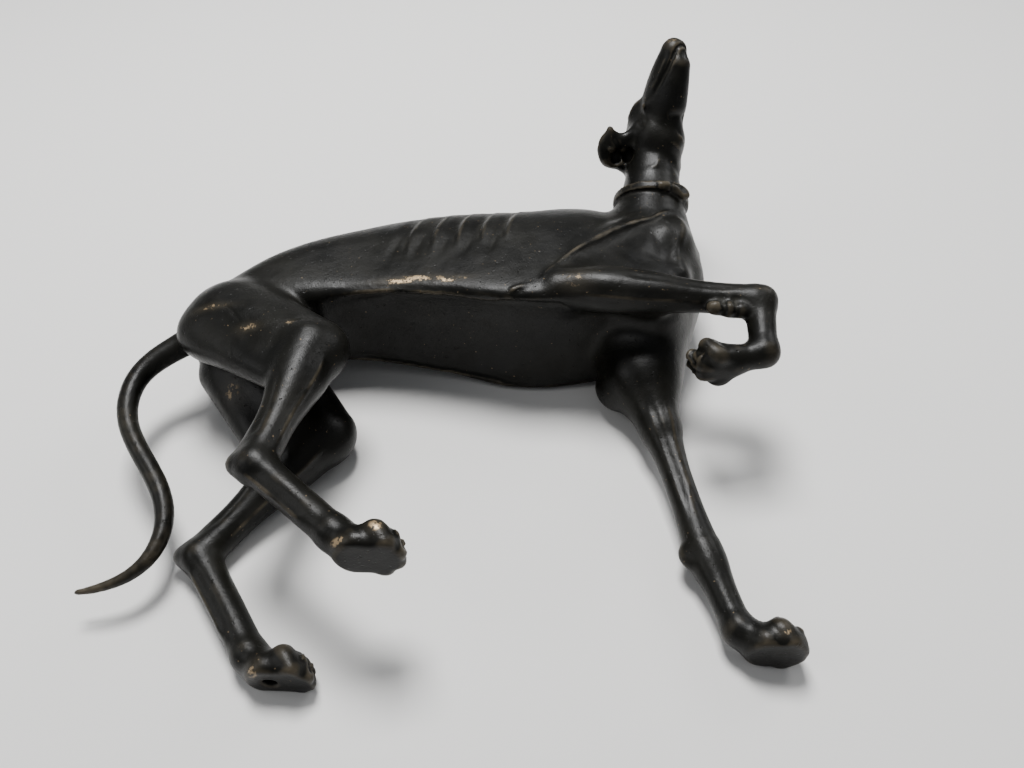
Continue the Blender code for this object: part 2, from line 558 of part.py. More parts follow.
def hind_legs(clay):
    """Thigh, shin, hock and paw on both sides. Returns the soles."""
    rows = (
        (LEFT_HIP, LEFT_STIFLE, LEFT_SHIN_TURN, LEFT_SHIN, LEFT_HIND_PASTERN_TURN,
         LEFT_HIND_PASTERN, LEFT_HIND_PAW_TURN),
        (RIGHT_HIP, RIGHT_STIFLE, RIGHT_SHIN_TURN, RIGHT_SHIN, RIGHT_HIND_PASTERN_TURN,
         RIGHT_HIND_PASTERN, RIGHT_HIND_PAW_TURN),
    )
    soles = []
    sideways = (0.0, 0.0, 1.0)
    for hip, stifle, shin_turn, shin, pastern_turn, pastern, paw_turn in rows:
        hip, stifle = vec(hip), vec(stifle)
        hock = along(stifle, shin_turn, shin)
        clay.bone(hip, stifle, THIGH_RADIUS, STIFLE_RADIUS, SOFT_MUSCLE, sideways, THIGH_FLATNESS)
        # The hamstring fills the angle between the seat bone and the calf.
        seat = hip + vec((-0.46, -0.23, 0.0)) * THIGH_RADIUS
        behind = along(stifle, shin_turn, shin * 0.22) + vec((-9.0, 2.0, 0.0))
        clay.bone(seat, behind, THIGH_RADIUS * 0.62, CALF_RADIUS * 0.85, SOFT_MUSCLE, sideways, THIGH_FLATNESS)
        places = [along(stifle, shin_turn, shin * share) for share in (0.0, 0.28, 0.62, 0.9, 1.0)]
        fetlock = along(hock, pastern_turn, pastern)
        clay.chain(places, (STIFLE_RADIUS * 0.85, CALF_RADIUS, SHIN_RADIUS, HOCK_RADIUS * 0.95, HOCK_RADIUS),
                   SOFT_LIMB)
        # Heel bone standing out behind the hock, with the tendon that runs up from it.
        heel = hock + vec((-0.88, 0.05, 0.0)) * HOCK_POINT
        clay.bone(hock, heel, HOCK_RADIUS * 0.8, HOCK_RADIUS * 0.52, SOFT_LIMB)
        tendon = along(stifle, shin_turn, shin * 0.6) + vec((-3.5, 0.0, 0.0))
        clay.bone(tendon, heel, HOCK_RADIUS * 0.55, HOCK_RADIUS * 0.45, SOFT_LIMB)
        clay.chain((hock, along(hock, pastern_turn, pastern * 0.3), fetlock),
                   (HOCK_RADIUS, HIND_PASTERN_RADIUS * 1.05, HIND_PASTERN_RADIUS), SOFT_LIMB)
        soles.append(paw(clay, fetlock, paw_turn, (0.0, -1.0, 0.0), PAW_LENGTH))
    return soles


def tail(clay):
    """A long whip of a tail in an S."""
    place = vec(TAIL_ROOT)
    steps = 40
    reach = TAIL_LENGTH / steps
    shares = (np.arange(steps) + 0.5) / steps
    heading = np.radians(ease(TAIL_BENDS, TAIL_HEADINGS, shares))
    girth = ease((0.0, 0.3, 0.75, 1.0), (TAIL_ROOT_RADIUS, TAIL_MIDDLE_RADIUS, TAIL_MIDDLE_RADIUS * 0.8,
                                         TAIL_TIP_RADIUS), np.linspace(0.0, 1.0, steps + 1))
    points = [place]
    for angle in heading:
        place = place + reach * vec((math.cos(angle), math.sin(angle), TAIL_FALL))
        points.append(place)
    clay.chain(points, girth, SOFT_LIMB)


def rest_on_table(clay):
    """Take off what would sink below the table, so the figure lies still on small flats."""
    cut, points = clay.window(clay.low, clay.high, 0.0)
    clay.carve(cut, points[..., 2], SOLE_EDGE)


def block_low():
    """The low corner of the block, a little past the tail, the soles and the table."""
    return (REAR_X - 36.0, -LEG_LENGTH - 26.0, -6.0)


def block_high():
    """The high corner of the block, past the raised paw, the crown and the nose."""
    return (BREAST_X + 44.0, BACK_Y + 1.4 * NECK_LENGTH, HEAD_LENGTH + NECK_LENGTH + 22.0)


def flatten(mesh, flats):
    """Put the corners that lie on a flat exactly on its plane."""
    for point, way, low, high in flats:
        for corner in mesh.vertices:
            place = vec(corner.co) / MM
            if np.all(place > low) and np.all(place < high):
                off = float((place - point) @ way)
                if abs(off) < FLAT_CATCH:
                    corner.co = Vector((place - off * way) * MM)


def drill(thing, mouth, way):
    """Sink the blind hole of the lost base pin into the sole."""
    middle = mouth - way * (PIN_HOLE_DEPTH / 2 - 2.0)
    turn = Vector(way).to_track_quat("Z", "X").to_matrix().to_4x4()
    form = bmesh.new()
    bmesh.ops.create_cone(form, cap_ends=True, segments=20, radius1=PIN_HOLE_RADIUS * MM,
                          radius2=PIN_HOLE_RADIUS * MM, depth=(PIN_HOLE_DEPTH + 4.0) * MM,
                          matrix=Matrix.Translation(Vector(middle * MM)) @ turn)
    mesh = bpy.data.meshes.new("pin_hole")
    form.to_mesh(mesh)
    form.free()
    tool = bpy.data.objects.new("pin_hole", mesh)
    bpy.context.scene.collection.objects.link(tool)
    cut = thing.modifiers.new("pin_hole", "BOOLEAN")
    cut.operation = "DIFFERENCE"
    cut.solver = "EXACT"
    cut.object = tool
    bake(thing)
    bpy.data.objects.remove(tool)


def bake(thing):
    """Make the modifiers part of the mesh."""
    graph = bpy.context.evaluated_depsgraph_get()
    graph.update()
    mesh = bpy.data.meshes.new_from_object(thing.evaluated_get(graph))
    thing.modifiers.clear()
    thing.data = mesh


def make_mesh(clay, name):
    """Turn the block into one closed mesh object, thinned to its share of triangles."""
    points, faces = clay.skin()
    mesh = bpy.data.meshes.new(name)
    mesh.from_pydata((points * MM).tolist(), [], faces.tolist())
    mesh.update()
    thing = bpy.data.objects.new(name, mesh)
    bpy.context.scene.collection.objects.link(thing)
    skin = thing.modifiers.new("skin", "REMESH")
    skin.mode = "VOXEL"
    skin.voxel_size = SKIN_STEP * MM
    bake(thing)
    faces = thing.data.polygons
    thin = thing.modifiers.new("thin", "DECIMATE")
    thin.decimate_type = "COLLAPSE"
    thin.ratio = min(1.0, TRIANGLES / (2 * len(faces)))
    thin.use_collapse_triangulate = True
    bake(thing)
    return thing


def bronze(name):
    """Black-brown patinated bronze."""
    material = bpy.data.materials.new(name)
    material.use_nodes = True
    shader = material.node_tree.nodes["Principled BSDF"]
    shader.inputs["Base Color"].default_value = (0.018, 0.017, 0.014, 1.0)
    shader.inputs["Roughness"].default_value = 0.38
    shader.inputs["Metallic"].default_value = 0.6
    return material


def centre(mesh):
    """Move the finished mesh so that the middle of its box stands over the origin."""
    places = np.empty(len(mesh.vertices) * 3)
    mesh.vertices.foreach_get("co", places)
    places = places.reshape(-1, 3)
    middle = (places.min(axis=0) + places.max(axis=0)) / 2
    places[:, :2] -= middle[:2]
    mesh.vertices.foreach_set("co", places.ravel())
    mesh.update()


def main():
    """Build the figure."""
    for thing in list(bpy.data.objects):
        bpy.data.objects.remove(thing)
    clay = Clay(block_low(), block_high(), GRID_STEP)
    trunk(clay)
    neck_and_head(clay)
    soles = fore_legs(clay) + hind_legs(clay)
    tail(clay)
    rest_on_table(clay)
    figure = make_mesh(clay, "greyhound")
    flats = [(sole, down, sole - reach - 2.0, sole + reach + 2.0) for sole, down, turn, reach in soles]
    flats.append((vec((0.0, 0.0, 0.0)), vec((0.0, 0.0, -1.0)), clay.low, clay.high))
    flatten(figure.data, flats)
    sole, down, turn, reach = soles[1]
    drill(figure, sole + turn * PIN_HOLE_AHEAD, down)
    centre(figure.data)
    figure.data.materials.append(bronze("patina"))


main()
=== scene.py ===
"""Looks of a small dark bronze greyhound that lies on its left side.

Sizes are in millimetres; the scene is in metres. X runs from tail to chest, Y from paws to back
and Z up through the figure's right side. The form is sculpted as a block of distance values,
skinned finely, then chased with grooves and ridges, and given its rubbed dark patina.
"""

import json
import logging
import math
from collections.abc import Sequence
from dataclasses import dataclass, field
from enum import Enum

import bmesh
import bpy
import numpy as np
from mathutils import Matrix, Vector
from mathutils.kdtree import KDTree

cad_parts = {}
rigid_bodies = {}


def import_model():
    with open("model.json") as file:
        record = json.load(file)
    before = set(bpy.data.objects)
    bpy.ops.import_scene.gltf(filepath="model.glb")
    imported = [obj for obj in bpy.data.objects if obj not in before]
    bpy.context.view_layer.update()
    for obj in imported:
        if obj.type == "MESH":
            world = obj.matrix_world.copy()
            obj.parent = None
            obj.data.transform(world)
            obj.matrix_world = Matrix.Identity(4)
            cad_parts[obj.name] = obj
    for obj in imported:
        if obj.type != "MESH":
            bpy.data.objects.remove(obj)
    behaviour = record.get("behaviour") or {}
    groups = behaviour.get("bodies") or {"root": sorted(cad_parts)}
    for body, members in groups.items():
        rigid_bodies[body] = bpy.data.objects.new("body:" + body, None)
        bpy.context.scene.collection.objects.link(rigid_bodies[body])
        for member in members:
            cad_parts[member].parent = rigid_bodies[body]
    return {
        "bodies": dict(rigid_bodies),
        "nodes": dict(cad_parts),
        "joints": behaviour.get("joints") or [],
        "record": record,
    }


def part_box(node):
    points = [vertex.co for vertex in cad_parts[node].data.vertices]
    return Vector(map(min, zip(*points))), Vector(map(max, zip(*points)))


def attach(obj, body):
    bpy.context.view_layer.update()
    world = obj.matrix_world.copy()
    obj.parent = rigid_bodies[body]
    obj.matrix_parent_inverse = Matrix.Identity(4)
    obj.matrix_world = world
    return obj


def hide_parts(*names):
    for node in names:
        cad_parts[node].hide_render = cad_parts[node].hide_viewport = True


LOG = logging.getLogger("greyhound")
MM = 0.001

# Fineness of the form.
SKIN_STEP = 1.05
TRIANGLES_WANTED = 192000
# Waves of the wax's unevenness, their length and depth, and the seed they are drawn from.
SWELLS = 14
SWELL_SIZE = 16.0
SWELL_DEPTH = 0.16
SWELL_SEED = 5
# A corner that stands this far from its softened neighbours counts as fully proud or hollow.
FULL_MARK = 0.35
SOFT_MUSCLE = 5.0
SOFT_LIMB = 3.0
SOFT_DETAIL = 1.2
# A limb of so many places is rounded; the tail has enough of them to be smooth as it is.
FEWEST_BENT = 3
MOST_BENT = 12
# Far from any mass the block holds this distance.
EMPTY = 40.0
# How far past a mass its window reaches.
WINDOW_MARGIN = 3.0

# Main sizes. Everything else hangs on these.
BODY_LENGTH = 244.0
CHEST_DEPTH = 91.5
LEG_LENGTH = 140.0
HEAD_LENGTH = 61.0

# Trunk: places along X from the seat bones, heights along Y, half widths along Z.
REAR_X = -0.54 * BODY_LENGTH
WITHERS_X = REAR_X + 0.828 * BODY_LENGTH
BREAST_X = REAR_X + BODY_LENGTH
BELLY_Y = 4.0
BACK_Y = BELLY_Y + CHEST_DEPTH
TRUNK_MID_Z = 33.0

# Neck, collar and head.
NECK_BASE = (BREAST_X - 13.0, BACK_Y - 23.5, TRUNK_MID_Z + 5.0)
NECK_LENGTH = 60.0
NECK_TURN = (0.12, 0.89, 0.44)
HEAD_TURN = (0.13, 0.32, 0.93)
THROAT_SIDE = (0.55, -0.80, 0.20)

# Left fore leg, the straight one.
LEFT_ELBOW = (BREAST_X - 22.0, -4.0, 20.0)
LEFT_FOREARM = 0.657 * LEG_LENGTH
LEFT_FOREARM_TURN = (0.168, -0.985, -0.09)
LEFT_PASTERN = 0.268 * LEG_LENGTH
LEFT_PASTERN_TURN = (0.225, -0.965, -0.02)

# Right fore leg, raised and bent at the wrist.
RIGHT_ELBOW = (WITHERS_X - 22.0, 15.0, 62.0)
RIGHT_FOREARM = 0.65 * LEG_LENGTH
RIGHT_FOREARM_TURN = (0.975, -0.19, 0.06)
RIGHT_PASTERN = 0.193 * LEG_LENGTH
RIGHT_PASTERN_TURN = (-0.09, -0.97, -0.22)
RIGHT_PAW_TURN = (-0.97, -0.05, -0.20)
RIGHT_PAW_LENGTH = 34.0

# Hind legs.
LEFT_STIFLE = (REAR_X + 67.5, -36.0, 13.5)
RIGHT_STIFLE = (REAR_X + 68.0, -20.0, 54.0)
LEFT_SHIN = 0.529 * LEG_LENGTH
LEFT_SHIN_TURN = (-0.55, -0.83, -0.07)
RIGHT_SHIN = 0.471 * LEG_LENGTH
RIGHT_SHIN_TURN = (-0.145, -0.985, 0.03)
HIND_PASTERN_RADIUS = 6.6
LEFT_HIND_PASTERN = 0.371 * LEG_LENGTH
LEFT_HIND_PASTERN_TURN = (0.58, -0.812, -0.01)
RIGHT_HIND_PASTERN = 0.322 * LEG_LENGTH
RIGHT_HIND_PASTERN_TURN = (0.75, -0.63, -0.05)

# Paws.
PAW_LENGTH = 29.0
LEFT_FORE_PAW_LENGTH = PAW_LENGTH * 0.90
PAW_RADIUS = 7.4
PAW_SPREAD = 5.3
TOE_RADIUS = 3.9
SOLE_DROP = 10.5
SOLE_AHEAD = 9.0
SOLE_PRESS = 3.6
PIN_HOLE_AHEAD = 10.5
LEFT_FORE_PAW_TURN = (0.985, -0.05, 0.0)
LEFT_HIND_PAW_TURN = (0.985, -0.05, 0.0)
RIGHT_HIND_PAW_TURN = (0.985, 0.0, -0.10)
SOLE_EDGE = 0.4
PIN_HOLE_RADIUS = 2.8
PIN_HOLE_DEPTH = 9.0


def vec(values: Sequence[float]) -> np.ndarray:
    """A point or direction as a numpy array."""
    return np.asarray(values, dtype=float)


def unit(values: Sequence[float]) -> np.ndarray:
    """The same direction, one long."""
    values = vec(values)
    return values / np.linalg.norm(values)


def along(start: Sequence[float], turn: Sequence[float], length: float) -> np.ndarray:
    """The point that lies a length away from another in a direction."""
    return vec(start) + unit(turn) * length


def ease(keys: Sequence[float], values: Sequence[float], where: np.ndarray) -> np.ndarray:
    """A smooth curve through a few named sizes (Hermite, no overshoot at the ends).

    Args:
        keys: Places of the sizes, rising.
        values: The size at each place.
        where: Places to read the size at.

    Returns:
        The size at those places.
    """
    keys, values = vec(keys), vec(values)
    slopes = np.gradient(values, keys)
    where = np.clip(where, keys[0], keys[-1])
    cell = np.clip(np.searchsorted(keys, where) - 1, 0, len(keys) - 2)
    span = keys[cell + 1] - keys[cell]
    t = (where - keys[cell]) / span
    first = (1 + 2 * t) * (1 - t) ** 2 * values[cell] + t * (1 - t) ** 2 * span * slopes[cell]
    second = t * t * (3 - 2 * t) * values[cell + 1] + t * t * (t - 1) * span * slopes[cell + 1]
    return first + second


class Clay:
    """A block of distance values; masses are pressed on to it and softly run together."""

    def __init__(self, low: Sequence[float], high: Sequence[float], step: float) -> None:
        """An empty block.

        Args:
            low: Its low corner, in millimetres.
            high: Its high corner.
            step: Spacing of its values.
        """
        self.low = vec(low)
        self.high = vec(high)
        self.step = step
        counts = [int(math.ceil((b - a) / step)) + 1 for a, b in zip(low, high)]
        self.axes = [a + step * np.arange(n) for a, n in zip(low, counts)]
        self.field = np.full(counts, EMPTY)

    def window(self, low: Sequence[float], high: Sequence[float], margin: float) -> tuple:
        """The part of the block round a mass, and its points.

        Args:
            low: The mass's low corner.
            high: The mass's high corner.
            margin: How far round it to reach.

        Returns:
            The part's slices and the points in it.
        """
        cut = []
        for axis, a, b in zip(self.axes, low, high):
            first = max(int((a - margin - axis[0]) / self.step), 0)
            last = min(int((b + margin - axis[0]) / self.step) + 2, len(axis))
            cut.append(slice(first, max(last, first + 1)))
        grid = np.meshgrid(*[axis[c] for axis, c in zip(self.axes, cut)], indexing="ij")
        return tuple(cut), np.stack(grid, axis=-1)

    def add(self, cut: tuple, distance: np.ndarray, soft: float) -> None:
        """Run a mass together with what is there.

        Args:
            cut: Slices of the part.
            distance: Distance to the mass at its points.
            soft: Width of the blend.
        """
        there = self.field[cut]
        blend = np.maximum(soft - np.abs(there - distance), 0.0) / soft
        self.field[cut] = np.minimum(there, distance) - blend * blend * soft * 0.25

    def carve(self, cut: tuple, distance: np.ndarray, soft: float) -> None:
        """Take a mass away from what is there.

        Args:
            cut: Slices of the part.
            distance: Distance to the mass at its points.
            soft: Width of the blend.
        """
        there = self.field[cut]
        blend = np.maximum(soft - np.abs(there + distance), 0.0) / soft
        self.field[cut] = np.maximum(there, -distance) + blend * blend * soft * 0.25

    def bone(self, start: Sequence[float], end: Sequence[float], start_radius: float, end_radius: float,
             soft: float, flat: Sequence[float] | None = None, ratio: float = 1.0,
             take: bool = False) -> None:
        """A rounded tapering rod, pressed flat by a ratio along one direction if asked.

        Args:
            start: One end.
            end: The other end.
            start_radius: Radius at the start.
            end_radius: Radius at the end.
            soft: Width of the blend.
            flat: The way it is pressed, if it is.
            ratio: Its thickness that way, as a share.
            take: Whether it is taken away instead.
        """
        start, end = vec(start), vec(end)
        reach = max(start_radius, end_radius) * max(ratio, 1.0)
        cut, points = self.window(np.minimum(start, end) - reach,
                                  np.maximum(start, end) + reach, soft + WINDOW_MARGIN)
        offset = points - start
        axis = end - start
        share = np.clip((offset @ axis) / (axis @ axis), 0.0, 1.0)
        rest = offset - share[..., None] * axis
        if flat is not None:
            side = unit(flat)
            height = rest @ side
            rest = rest + (height / ratio - height)[..., None] * side
        distance = np.linalg.norm(rest, axis=-1) - (start_radius + share * (end_radius - start_radius))
        if take:
            self.carve(cut, distance, soft)
        else:
            self.add(cut, distance, soft)

    def chain(self, points: Sequence, radii: Sequence[float], soft: float) -> None:
        """Rods end to end, run together with the rest as one.

        Args:
            points: Places along the limb.
            radii: Its radius at each.
            soft: Width of the blend.
        """
        points, radii = rounded([vec(p) for p in points], radii)
        reach = max(radii)
        cut, there = self.window(np.min(points, axis=0) - reach, np.max(points, axis=0) + reach,
                                 soft + WINDOW_MARGIN)
        nearest = np.full(there.shape[:-1], 1e3)
        girth = np.zeros(there.shape[:-1])
        for start, end, first, last in zip(points, points[1:], radii, radii[1:]):
            offset = there - start
            axis = end - start
            share = np.clip((offset @ axis) / (axis @ axis), 0.0, 1.0)
            rest = np.linalg.norm(offset - share[..., None] * axis, axis=-1)
            closer = rest < nearest
            nearest = np.where(closer, rest, nearest)
            girth = np.where(closer, first + share * (last - first), girth)
        self.add(cut, nearest - girth, soft)

    def egg(self, centre: Sequence[float], radii: Sequence[float], long_way: Sequence[float],
            wide_way: Sequence[float], soft: float, take: bool = False) -> None:
        """An egg-shaped mass.

        Args:
            centre: Its middle.
            radii: Along its long way, its wide way and across both.
            long_way: Its long way.
            wide_way: Its wide way.
            soft: Width of the blend.
            take: Whether it is taken away instead.
        """
        centre = vec(centre)
        first = unit(long_way)
        third = unit(np.cross(first, vec(wide_way)))
        second = np.cross(third, first)
        reach = max(radii)
        cut, points = self.window(centre - reach, centre + reach, soft + WINDOW_MARGIN)
        offset = points - centre
        local = np.stack([offset @ first, offset @ second, offset @ third], axis=-1)
        radii = vec(radii)
        near = np.linalg.norm(local / radii, axis=-1)
        slope = np.linalg.norm(local / radii ** 2, axis=-1)
        distance = near * (near - 1.0) / np.maximum(slope, 1e-6)
        if take:
            self.carve(cut, distance, soft)
        else:
            self.add(cut, distance, soft)

    def ring(self, centre: Sequence[float], way: Sequence[float], radius: float, width: float,
             thickness: float, soft: float) -> None:
        """A flat band round a neck.

        Args:
            centre: Its middle.
            way: The neck's way.
            radius: Its middle radius.
            width: Its width along the neck.
            thickness: Its thickness.
            soft: Width of the blend.
        """
        centre, way = vec(centre), unit(way)
        reach = radius + width
        cut, points = self.window(centre - reach, centre + reach, soft + WINDOW_MARGIN)
        offset = points - centre
        height = offset @ way
        out = np.linalg.norm(offset - height[..., None] * way, axis=-1) - radius
        inside = np.stack([np.abs(height) - width / 2, np.abs(out) - thickness / 2], axis=-1)
        distance = (np.linalg.norm(np.maximum(inside, 0.0), axis=-1)
                    + np.minimum(inside.max(axis=-1), 0.0) - 0.6)
        self.add(cut, distance, soft)

    def above(self, point: Sequence[float], way: Sequence[float], low: Sequence[float],
              high: Sequence[float], soft: float) -> None:
        """Cut a mass off flat: what lies past a plane inside a window goes.

        Args:
            point: A place on the plane.
            way: The way out of the mass.
            low: The window's low corner.
            high: The window's high corner.
            soft: Rounding of the new edge.
        """
        cut, points = self.window(low, high, 0.0)
        distance = (points - vec(point)) @ unit(way)
        self.carve(cut, -distance, soft)

    def skin(self) -> tuple:
        """The surface of the block.

        Returns:
            Its points and its four-sided faces.
        """
        field = self.field
        inside = field < 0.0
        cells = tuple(n - 1 for n in field.shape)
        total = np.zeros(cells + (3,))
        count = np.zeros(cells)
        for axis in range(3):
            others = [a for a in range(3) if a != axis]
            for i in (0, 1):
                for j in (0, 1):
                    here = [slice(None)] * 3
                    there = [slice(None)] * 3
                    here[axis], there[axis] = slice(0, -1), slice(1, None)
                    for other, shift in zip(others, (i, j)):
                        piece = slice(shift, shift + cells[other])
                        here[other], there[other] = piece, piece
                    a, b = field[tuple(here)], field[tuple(there)]
                    cross = inside[tuple(here)] != inside[tuple(there)]
                    gap = np.where(cross, a - b, 1.0)
                    share = np.where(cross, a / gap, 0.0)
                    total[..., axis] += share
                    for other, shift in zip(others, (i, j)):
                        total[..., other] += cross * shift
                    count += cross
        live = count > 0
        number = np.full(cells, -1)
        number[live] = np.arange(int(live.sum()))
        corner = np.argwhere(live)
        points = self.low + (corner + total[live] / count[live][:, None]) * self.step
        faces = []
        for axis in range(3):
            one, two = (axis + 1) % 3, (axis + 2) % 3
            here = [slice(1, -1)] * 3
            here[axis] = slice(0, -1)
            there = [slice(1, -1)] * 3
            there[axis] = slice(1, None)
            for solid in (True, False):
                a, b = inside[tuple(here)], inside[tuple(there)]
                hits = np.argwhere((a != b) & (a == solid))
                base = hits + 1
                base[:, axis] -= 1
                ring = []
                for back_one, back_two in ((1, 1), (0, 1), (0, 0), (1, 0)):
                    cell = base.copy()
                    cell[:, one] -= back_one
                    cell[:, two] -= back_two
                    ring.append(number[cell[:, 0], cell[:, 1], cell[:, 2]])
                quad = np.stack(ring, axis=1)
                faces.append(quad if solid else quad[:, ::-1])
        return points, np.concatenate(faces)


def smooth_path(path: Sequence, per_span: int = 8) -> np.ndarray:
    """A Catmull-Rom curve through a few places.

    Args:
        path: The places, which may carry a radius each.
        per_span: Samples between two places.

    Returns:
        The places along the curve.
    """
    points = [vec(p) for p in path]
    points = [2 * points[0] - points[1]] + points + [2 * points[-1] - points[-2]]
    out = []
    for a, b, c, d in zip(points, points[1:], points[2:], points[3:]):
        for t in np.linspace(0.0, 1.0, per_span, endpoint=False):
            out.append(0.5 * (2 * b + (c - a) * t + (2 * a - 5 * b + 4 * c - d) * t * t
                              + (3 * b - a - 3 * c + d) * t ** 3))
    out.append(points[-2])
    return np.array(out)


def rounded(points: Sequence, radii: Sequence[float], steps: int = 4) -> tuple:
    """The same limb with its bends rounded: a curve through the places and the radii.

    Args:
        points: Places along the limb.
        radii: Its radius at each.
        steps: Samples between two places.

    Returns:
        The new places and the new radii.
    """
    if not FEWEST_BENT <= len(points) <= MOST_BENT:
        return points, list(radii)
    rows = smooth_path([np.append(p, r) for p, r in zip(points, radii)], steps)
    return list(rows[:, :3]), list(rows[:, 3])


class Tool(Enum):
    """How a chaser's mark meets the skin."""

    GROOVE = -1.0
    RIDGE = 1.0


@dataclass(frozen=True)
class Finish:
    """Colours and sheen of one surface."""

    name: str
    base: tuple
    cloud: tuple
    # Pale colour on proud ridges: partly worn patina, partly a painted highlight.
    edge: tuple
    worn: tuple
    dust: tuple
    roughness: float
    specular: float
    bump: float
    bump_height: float


@dataclass(frozen=True)
class Stroke:
    """One chased line: places near the skin, its width and its depth."""

    name: str
    path: tuple
    width: float
    depth: float
    tool: Tool = Tool.GROOVE


@dataclass(frozen=True)
class Rub:
    """A patch where handling or a knock took the patina off."""

    name: str
    place: tuple
    size: tuple
    strength: float


def both(name: str, path: tuple, width: float, depth: float, tool: Tool = Tool.GROOVE) -> list[Stroke]:
    """The same mark on the right flank and, fainter, on the side it lies on.

    Args:
        name: The mark's name.
        path: Its places on the right flank.
        width: Its width.
        depth: Its depth.
        tool: Groove or ridge.

    Returns:
        Both marks.
    """
    far = tuple((x, y, 2.0 * TRUNK_MID_Z - z) for x, y, z in path)
    return [Stroke(name, path, width, depth, tool), Stroke(name + "_far", far, width, depth * 0.8, tool)]


def scratch_strokes() -> list[Stroke]:
    """Shallow scratches and knocks from handling, the longest across the right thigh.

    Returns:
        The marks.
    """
    rows = (
        ("thigh_scratch", ((-122.0, 3.0, 60.0), (-104.0, -1.0, 64.0), (-95.0, -12.0, 63.0)), 0.7, 0.28),
        ("thigh_scratch", ((-95.0, -12.0, 63.0), (-90.0, -14.0, 63.0), (-85.0, -17.0, 64.0)), 0.7, 0.28),
        ("knee_scratch", ((-74.0, -13.0, 66.0), (-70.0, -14.0, 66.0), (-66.0, -13.0, 65.0)), 0.6, 0.3),
        ("thigh_nick", ((-99.0, -19.0, 60.0), (-99.0, -23.0, 59.0), (-98.0, -27.0, 59.0)), 0.6, 0.25),
        ("flank_nick", ((-14.0, 62.0, 66.0), (-9.0, 60.0, 66.0), (-4.0, 61.0, 66.0)), 0.6, 0.2),
    )
    return [Stroke(*row) for row in rows]


def rest_on_table(clay: Clay) -> None:
    """Take off what would sink below the table, so the figure lies still on small flats.

    Args:
        clay: The block.
    """
    cut, points = clay.window(clay.low, clay.high, 0.0)
    clay.carve(cut, points[..., 2], SOLE_EDGE)


def block_low() -> tuple:
    """The low corner of the block, a little past the tail, the soles and the table."""
    return (REAR_X - 36.0, -LEG_LENGTH - 26.0, -6.0)


def block_high() -> tuple:
    """The high corner of the block, past the raised paw, the crown and the nose."""
    return (BREAST_X + 44.0, BACK_Y + 1.4 * NECK_LENGTH, HEAD_LENGTH + NECK_LENGTH + 22.0)


class HeadFrame:
    """Places in the head: along the muzzle, up to the crown and across to the ears."""

    def __init__(self) -> None:
        """Work out the head's own directions."""
        self.top = along(NECK_BASE, NECK_TURN, NECK_LENGTH)
        self.way = unit(HEAD_TURN)
        throat = unit(THROAT_SIDE)
        throat = unit(throat - (throat @ self.way) * self.way)
        self.crown = -throat
        self.across = np.cross(self.way, self.crown)

    def at(self, ahead: float, up: float, side: float = 0.0) -> np.ndarray:
        """A place in the head; ahead is a share of the head's length."""
        return self.top + self.way * ahead * HEAD_LENGTH + self.crown * up + self.across * side


@dataclass(frozen=True)
class Paw:
    """Pad and four toes ahead of a fetlock, cut off flat at the sole."""

    fetlock: np.ndarray
    turn: tuple
    length: float
    down: tuple = (0.0, -1.0, 0.0)

    def press(self, clay: Clay) -> tuple:
        """Press the paw on to the block.

        Args:
            clay: The block.

        Returns:
            The sole's point, its outward way, the paw's way and half of its reach.
        """
        turn = unit(self.turn)
        down = vec(self.down) - (vec(self.down) @ turn) * turn
        down = unit(down)
        across = unit(np.cross(turn, down))
        drop = SOLE_DROP - PAW_RADIUS
        heel = vec(self.fetlock) + down * (drop + SOLE_PRESS) + turn * SOLE_AHEAD
        clay.bone(self.fetlock, heel, HIND_PASTERN_RADIUS, PAW_RADIUS, SOFT_LIMB, across, 1.15)
        clay.bone(heel, heel + turn * self.length * 0.34, PAW_RADIUS, PAW_RADIUS, SOFT_LIMB, across, 1.45)
        for toe, reach in ((-1.5, 0.80), (-0.5, 0.95), (0.5, 0.95), (1.5, 0.80)):
            side = across * toe * PAW_SPREAD
            start = self.fetlock
            back = start + turn * self.length * 0.42 + side * 0.7 + down * (SOLE_DROP - 7.2)
            knuckle = start + turn * self.length * (reach - 0.26) + side * 0.95 + down * (SOLE_DROP - 7.3)
            tip = start + turn * (self.length * reach - TOE_RADIUS) + side + down * (SOLE_DROP - 2.6)
            clay.chain((back, knuckle, tip), (TOE_RADIUS * 1.05, TOE_RADIUS * 1.2, TOE_RADIUS), SOFT_DETAIL)
        sole = vec(self.fetlock) + down * SOLE_DROP
        reach = np.abs(turn) * self.length + np.abs(across) * PAW_RADIUS * 2.2
        clay.above(sole, down, sole - reach - np.abs(down) * PAW_RADIUS * 1.2, sole + reach, SOLE_EDGE)
        return sole, down, turn, reach

    def strokes(self) -> list[Stroke]:
        """Creases between the toes, and a small claw at the end of each.

        Returns:
            The marks.
        """
        turn = unit(self.turn)
        across = unit(np.cross(turn, self.down))
        down = vec(self.down)
        marks = []
        for crease in (-1.0, 0.0, 1.0):
            side = across * crease * PAW_SPREAD
            path = tuple(self.fetlock + turn * self.length * ahead + side + down * fall
                         for ahead, fall in ((0.46, -8.0), (0.75, -7.0), (0.98, 0.0), (1.0, 8.0)))
            marks.append(Stroke("toe_crease", path, 1.5, 2.3))
        for toe, reach in ((-1.5, 0.80), (-0.5, 0.95), (0.5, 0.95), (1.5, 0.80)):
            side = across * toe * PAW_SPREAD
            knuckle = tuple(self.fetlock + turn * self.length * (reach - back) + side + across * out
                            + down * -7.0 for back, out in ((0.22, -1.8), (0.24, 0.0), (0.22, 1.8)))
            marks.append(Stroke("knuckle", knuckle, 1.6, 0.6, Tool.RIDGE))
            claw = tuple(self.fetlock + turn * (self.length * reach + ahead) + side + down * fall
                         for ahead, fall in ((-1.0, 1.2), (0.4, 3.0), (0.6, 4.6)))
            marks.append(Stroke("claw", claw, 1.2, 0.9, Tool.RIDGE))
        return marks


